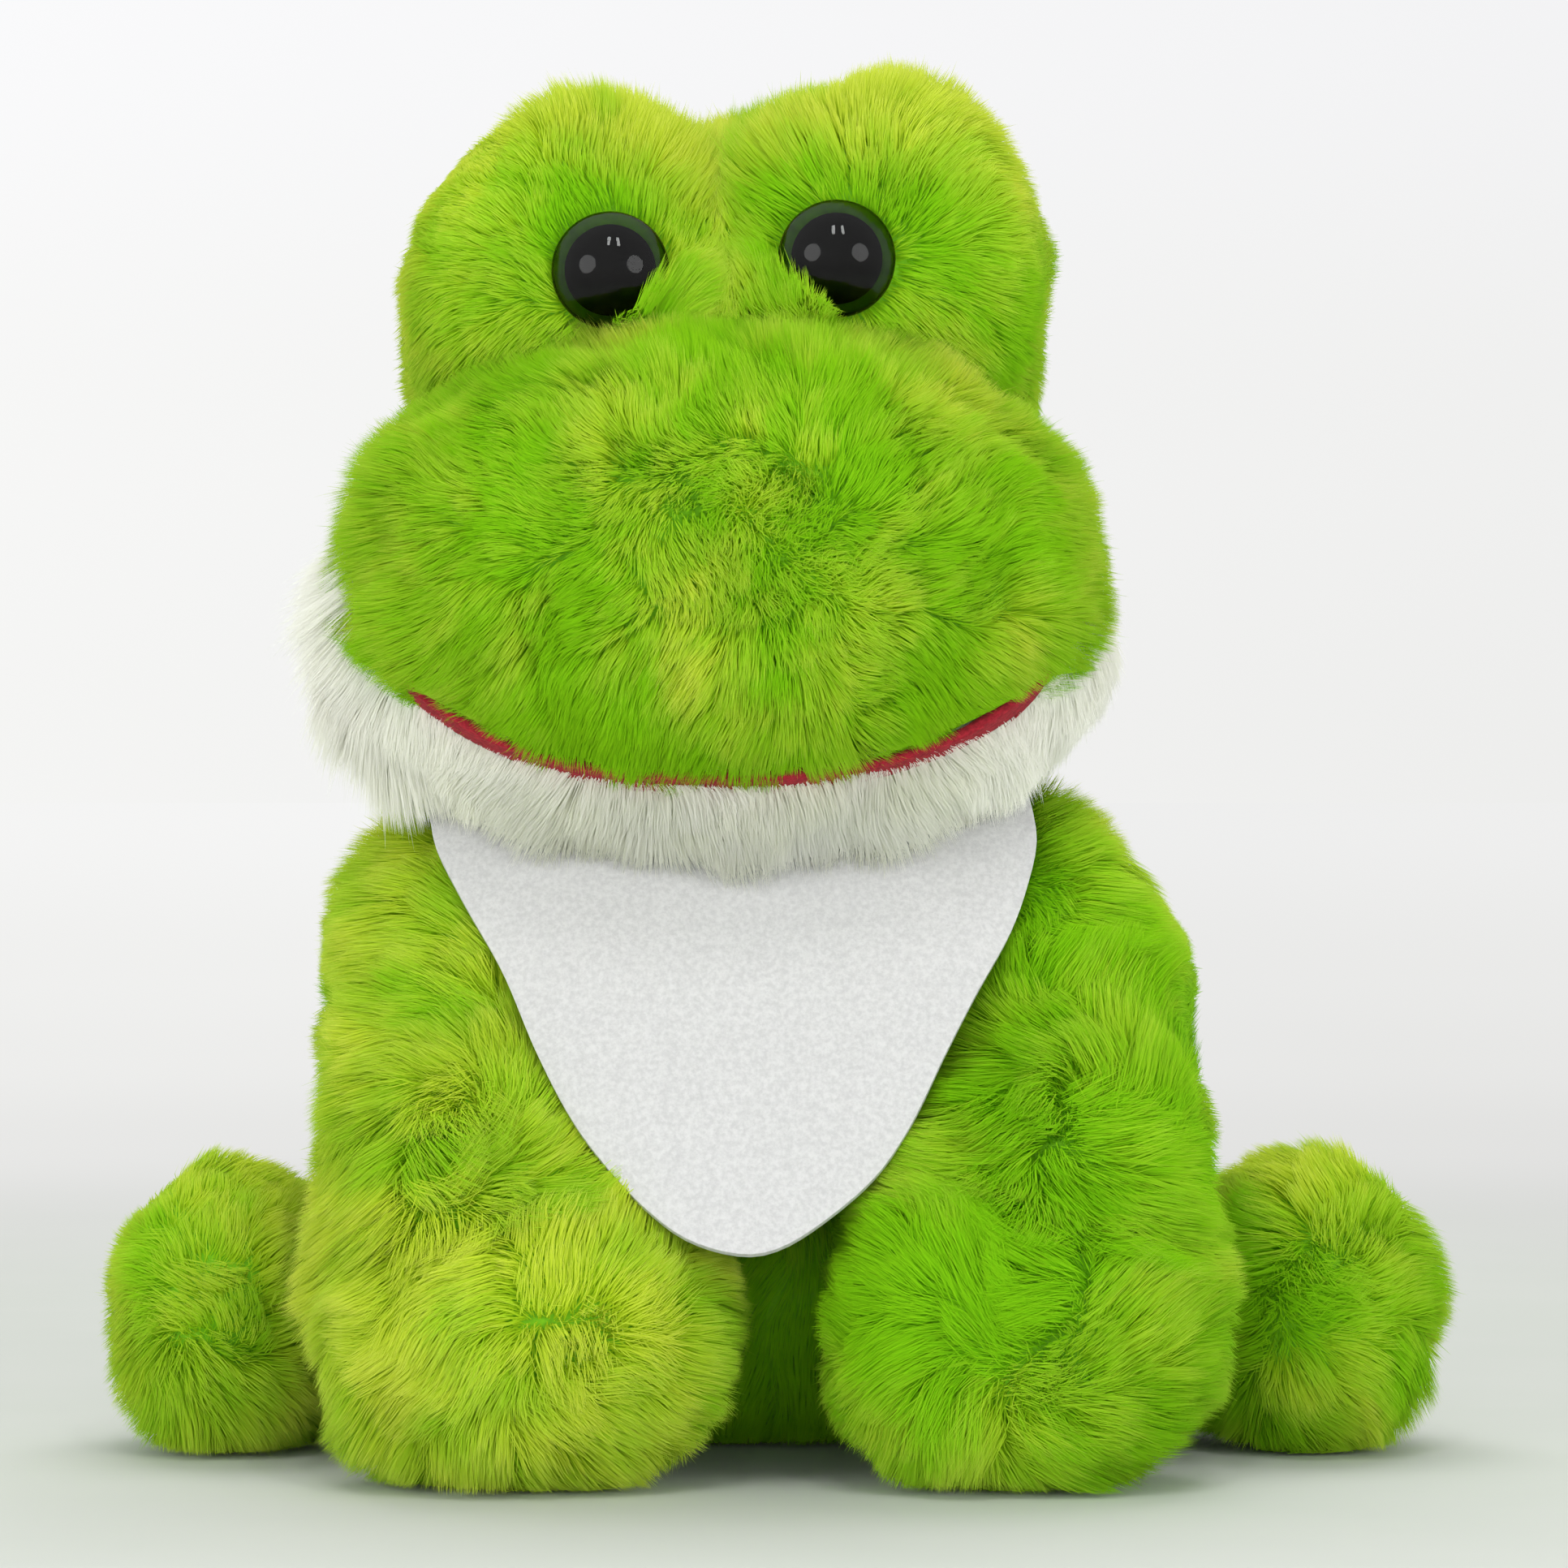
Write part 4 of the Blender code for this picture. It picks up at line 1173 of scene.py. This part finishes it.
# The floor's painted light by r / (1 + r), with r the distance in metres, darker towards the middle
FLOOR_TONES = [
    (0.206, (0.700, 0.705, 0.690)), (0.329, (0.745, 0.750, 0.735)), (0.45, (0.807, 0.807, 0.795)),
    (0.569, (0.850, 0.850, 0.838)), (0.688, (0.871, 0.871, 0.860)), (0.92, (0.910, 0.910, 0.905)),
]
FADE_FROM, FADE_TO = 0.22, 0.42  # where the painted floor gives way to those tones
# The sky's painted light, brighter upwards
SKY_TONES = [(0.0, (0.910, 0.910, 0.900)), (0.05, (0.925, 0.925, 0.918)), (0.12, (0.955, 0.955, 0.965))]
WORLD_LIGHT = (0.40, 0.40, 0.40, 1.0)


def maths(tree, operation, first, second):
    return add_node(tree, "Math", {0: first, 1: second}, operation=operation).outputs[0]


def seen_ray(tree):
    """1 for what the camera sees, straight or by reflection or through glass."""
    rays = add_node(tree, "LightPath").outputs
    seen = rays["Is Camera Ray"]
    for ray in ("Is Glossy Ray", "Is Transmission Ray"):
        seen = maths(tree, "MAXIMUM", seen, rays[ray])
    return seen


def scaled(tree, colour, across, half_width, last):
    """Painted light: a colour that falls to a share of itself from the left to the right, as if lit from the left.
    """
    fall = {"Value": across, "From Min": -half_width, "From Max": half_width, "To Min": 1.0, "To Max": last}
    share = add_node(tree, "MapRange", fall).outputs["Result"]
    return add_node(tree, "VectorMath", {0: colour, "Scale": share}, operation="SCALE").outputs["Vector"]


def make_stage():
    """A round paper floor that fades with distance to the pale backdrop's tone, painted light that is seen in
    place of the lit floor and falls off from left to right.
    """
    made, tree, shader = new_material("paper")
    place = add_node(tree, "TexCoord").outputs["Object"]
    across = add_node(tree, "SeparateXYZ", {0: place}).outputs["X"]
    away = add_node(tree, "VectorMath", {0: place}, operation="LENGTH").outputs["Value"]
    reach = maths(tree, "DIVIDE", away, maths(tree, "ADD", away, 1.0))
    feed(tree, shader, {"Base Color": ramp(tree, FLOOR_PAINT, noise(tree, 60.0)), "Roughness": 0.9})
    tone = scaled(tree, ramp(tree, FLOOR_TONES, reach), across, 0.22, 0.945)
    fade = {"Value": reach, "From Min": FADE_FROM, "From Max": FADE_TO}
    behind = add_node(tree, "MapRange", fade, interpolation_type="SMOOTHSTEP").outputs["Result"]
    share = maths(tree, "MULTIPLY", behind, seen_ray(tree))
    mix_shaders(tree, share, shader, add_node(tree, "Emission", {"Color": tone}))
    turns = [2 * math.pi * i / FLOOR_SIDES for i in range(FLOOR_SIDES)]
    rim = [(FLOOR_RADIUS * math.cos(a), FLOOR_RADIUS * math.sin(a), 0) for a in turns]
    faces = [(FLOOR_SIDES, i, (i + 1) % FLOOR_SIDES) for i in range(FLOOR_SIDES)]
    floor = add_mesh("paper_floor", [*rim, (0, 0, 0)], faces, made)
    floor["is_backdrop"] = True


# Light: places, aims and sizes in metres

TOY = (0, -0.03, 0.10)
FACE = (0, -0.06, 0.185)


def area_light(name, place, aim, size, power, glossy=False, shape="RECTANGLE"):
    data = bpy.data.lights.new(name, "AREA")
    data.shape = shape
    data.size, data.size_y = size
    data.energy = power
    lamp = bpy.data.objects.new(name, data)
    scene.collection.objects.link(lamp)
    lamp.location = place
    lamp.rotation_mode = "QUATERNION"
    lamp.rotation_quaternion = (Vector(aim) - Vector(place)).to_track_quat("-Z", "Y")
    lamp.visible_glossy = glossy


def make_world():
    """A pale room for what is seen, with painted light brighter upwards and falling off from left to right, and an
    even grey for what is lit.
    """
    world = bpy.data.worlds.new("world")
    scene.world = world
    world.use_nodes = True
    tree = world.node_tree
    place = add_node(tree, "TexCoord").outputs["Generated"]
    spot = add_node(tree, "SeparateXYZ", {0: place}).outputs
    pale = scaled(tree, ramp(tree, SKY_TONES, spot["Z"]), spot["X"], 0.12, 0.94)
    colour = mix_colours(tree, seen_ray(tree), WORLD_LIGHT, pale)
    feed(tree, tree.nodes["Background"], {"Color": colour})


def make_lamps():
    """Soft lamps, and two umbrellas and two window strips that the eyes show."""
    area_light("key", (-0.85, -1.08, 0.20), TOY, (1.0, 1.0), 4.9)
    area_light("fill", (0.85, -1.08, 0.20), TOY, (1.0, 1.0), 3.7)
    area_light("front", (0.05, -1.30, 0.13), TOY, (0.9, 0.5), 6.2)
    area_light("top", (0.0, 0.45, 1.35), TOY, (1.5, 0.9), 10.0)
    for side in (-1, 1):
        area_light(f"rear_{side + 1}", (side * 1.0, 1.1, 0.45), TOY, (0.9, 0.9), 2.0)
        umbrella, strip = (side * 0.72, -0.95, 0.40), (0.05 + side * 0.12, -0.75, 0.96)
        area_light(f"umbrella_{side + 1}", umbrella, FACE, (0.56, 0.56), 2.6, glossy=True, shape="DISK")
        area_light(f"strip_{side + 1}", strip, FACE, (0.075, 0.27), 1.1, glossy=True)


make_camera()
make_stage()
make_world()
make_lamps()
scene.view_settings.view_transform = "Standard"
make_skins()
make_pile()
make_eyes()
make_mouth()
make_bib()
dress_cad()

visual_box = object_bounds()
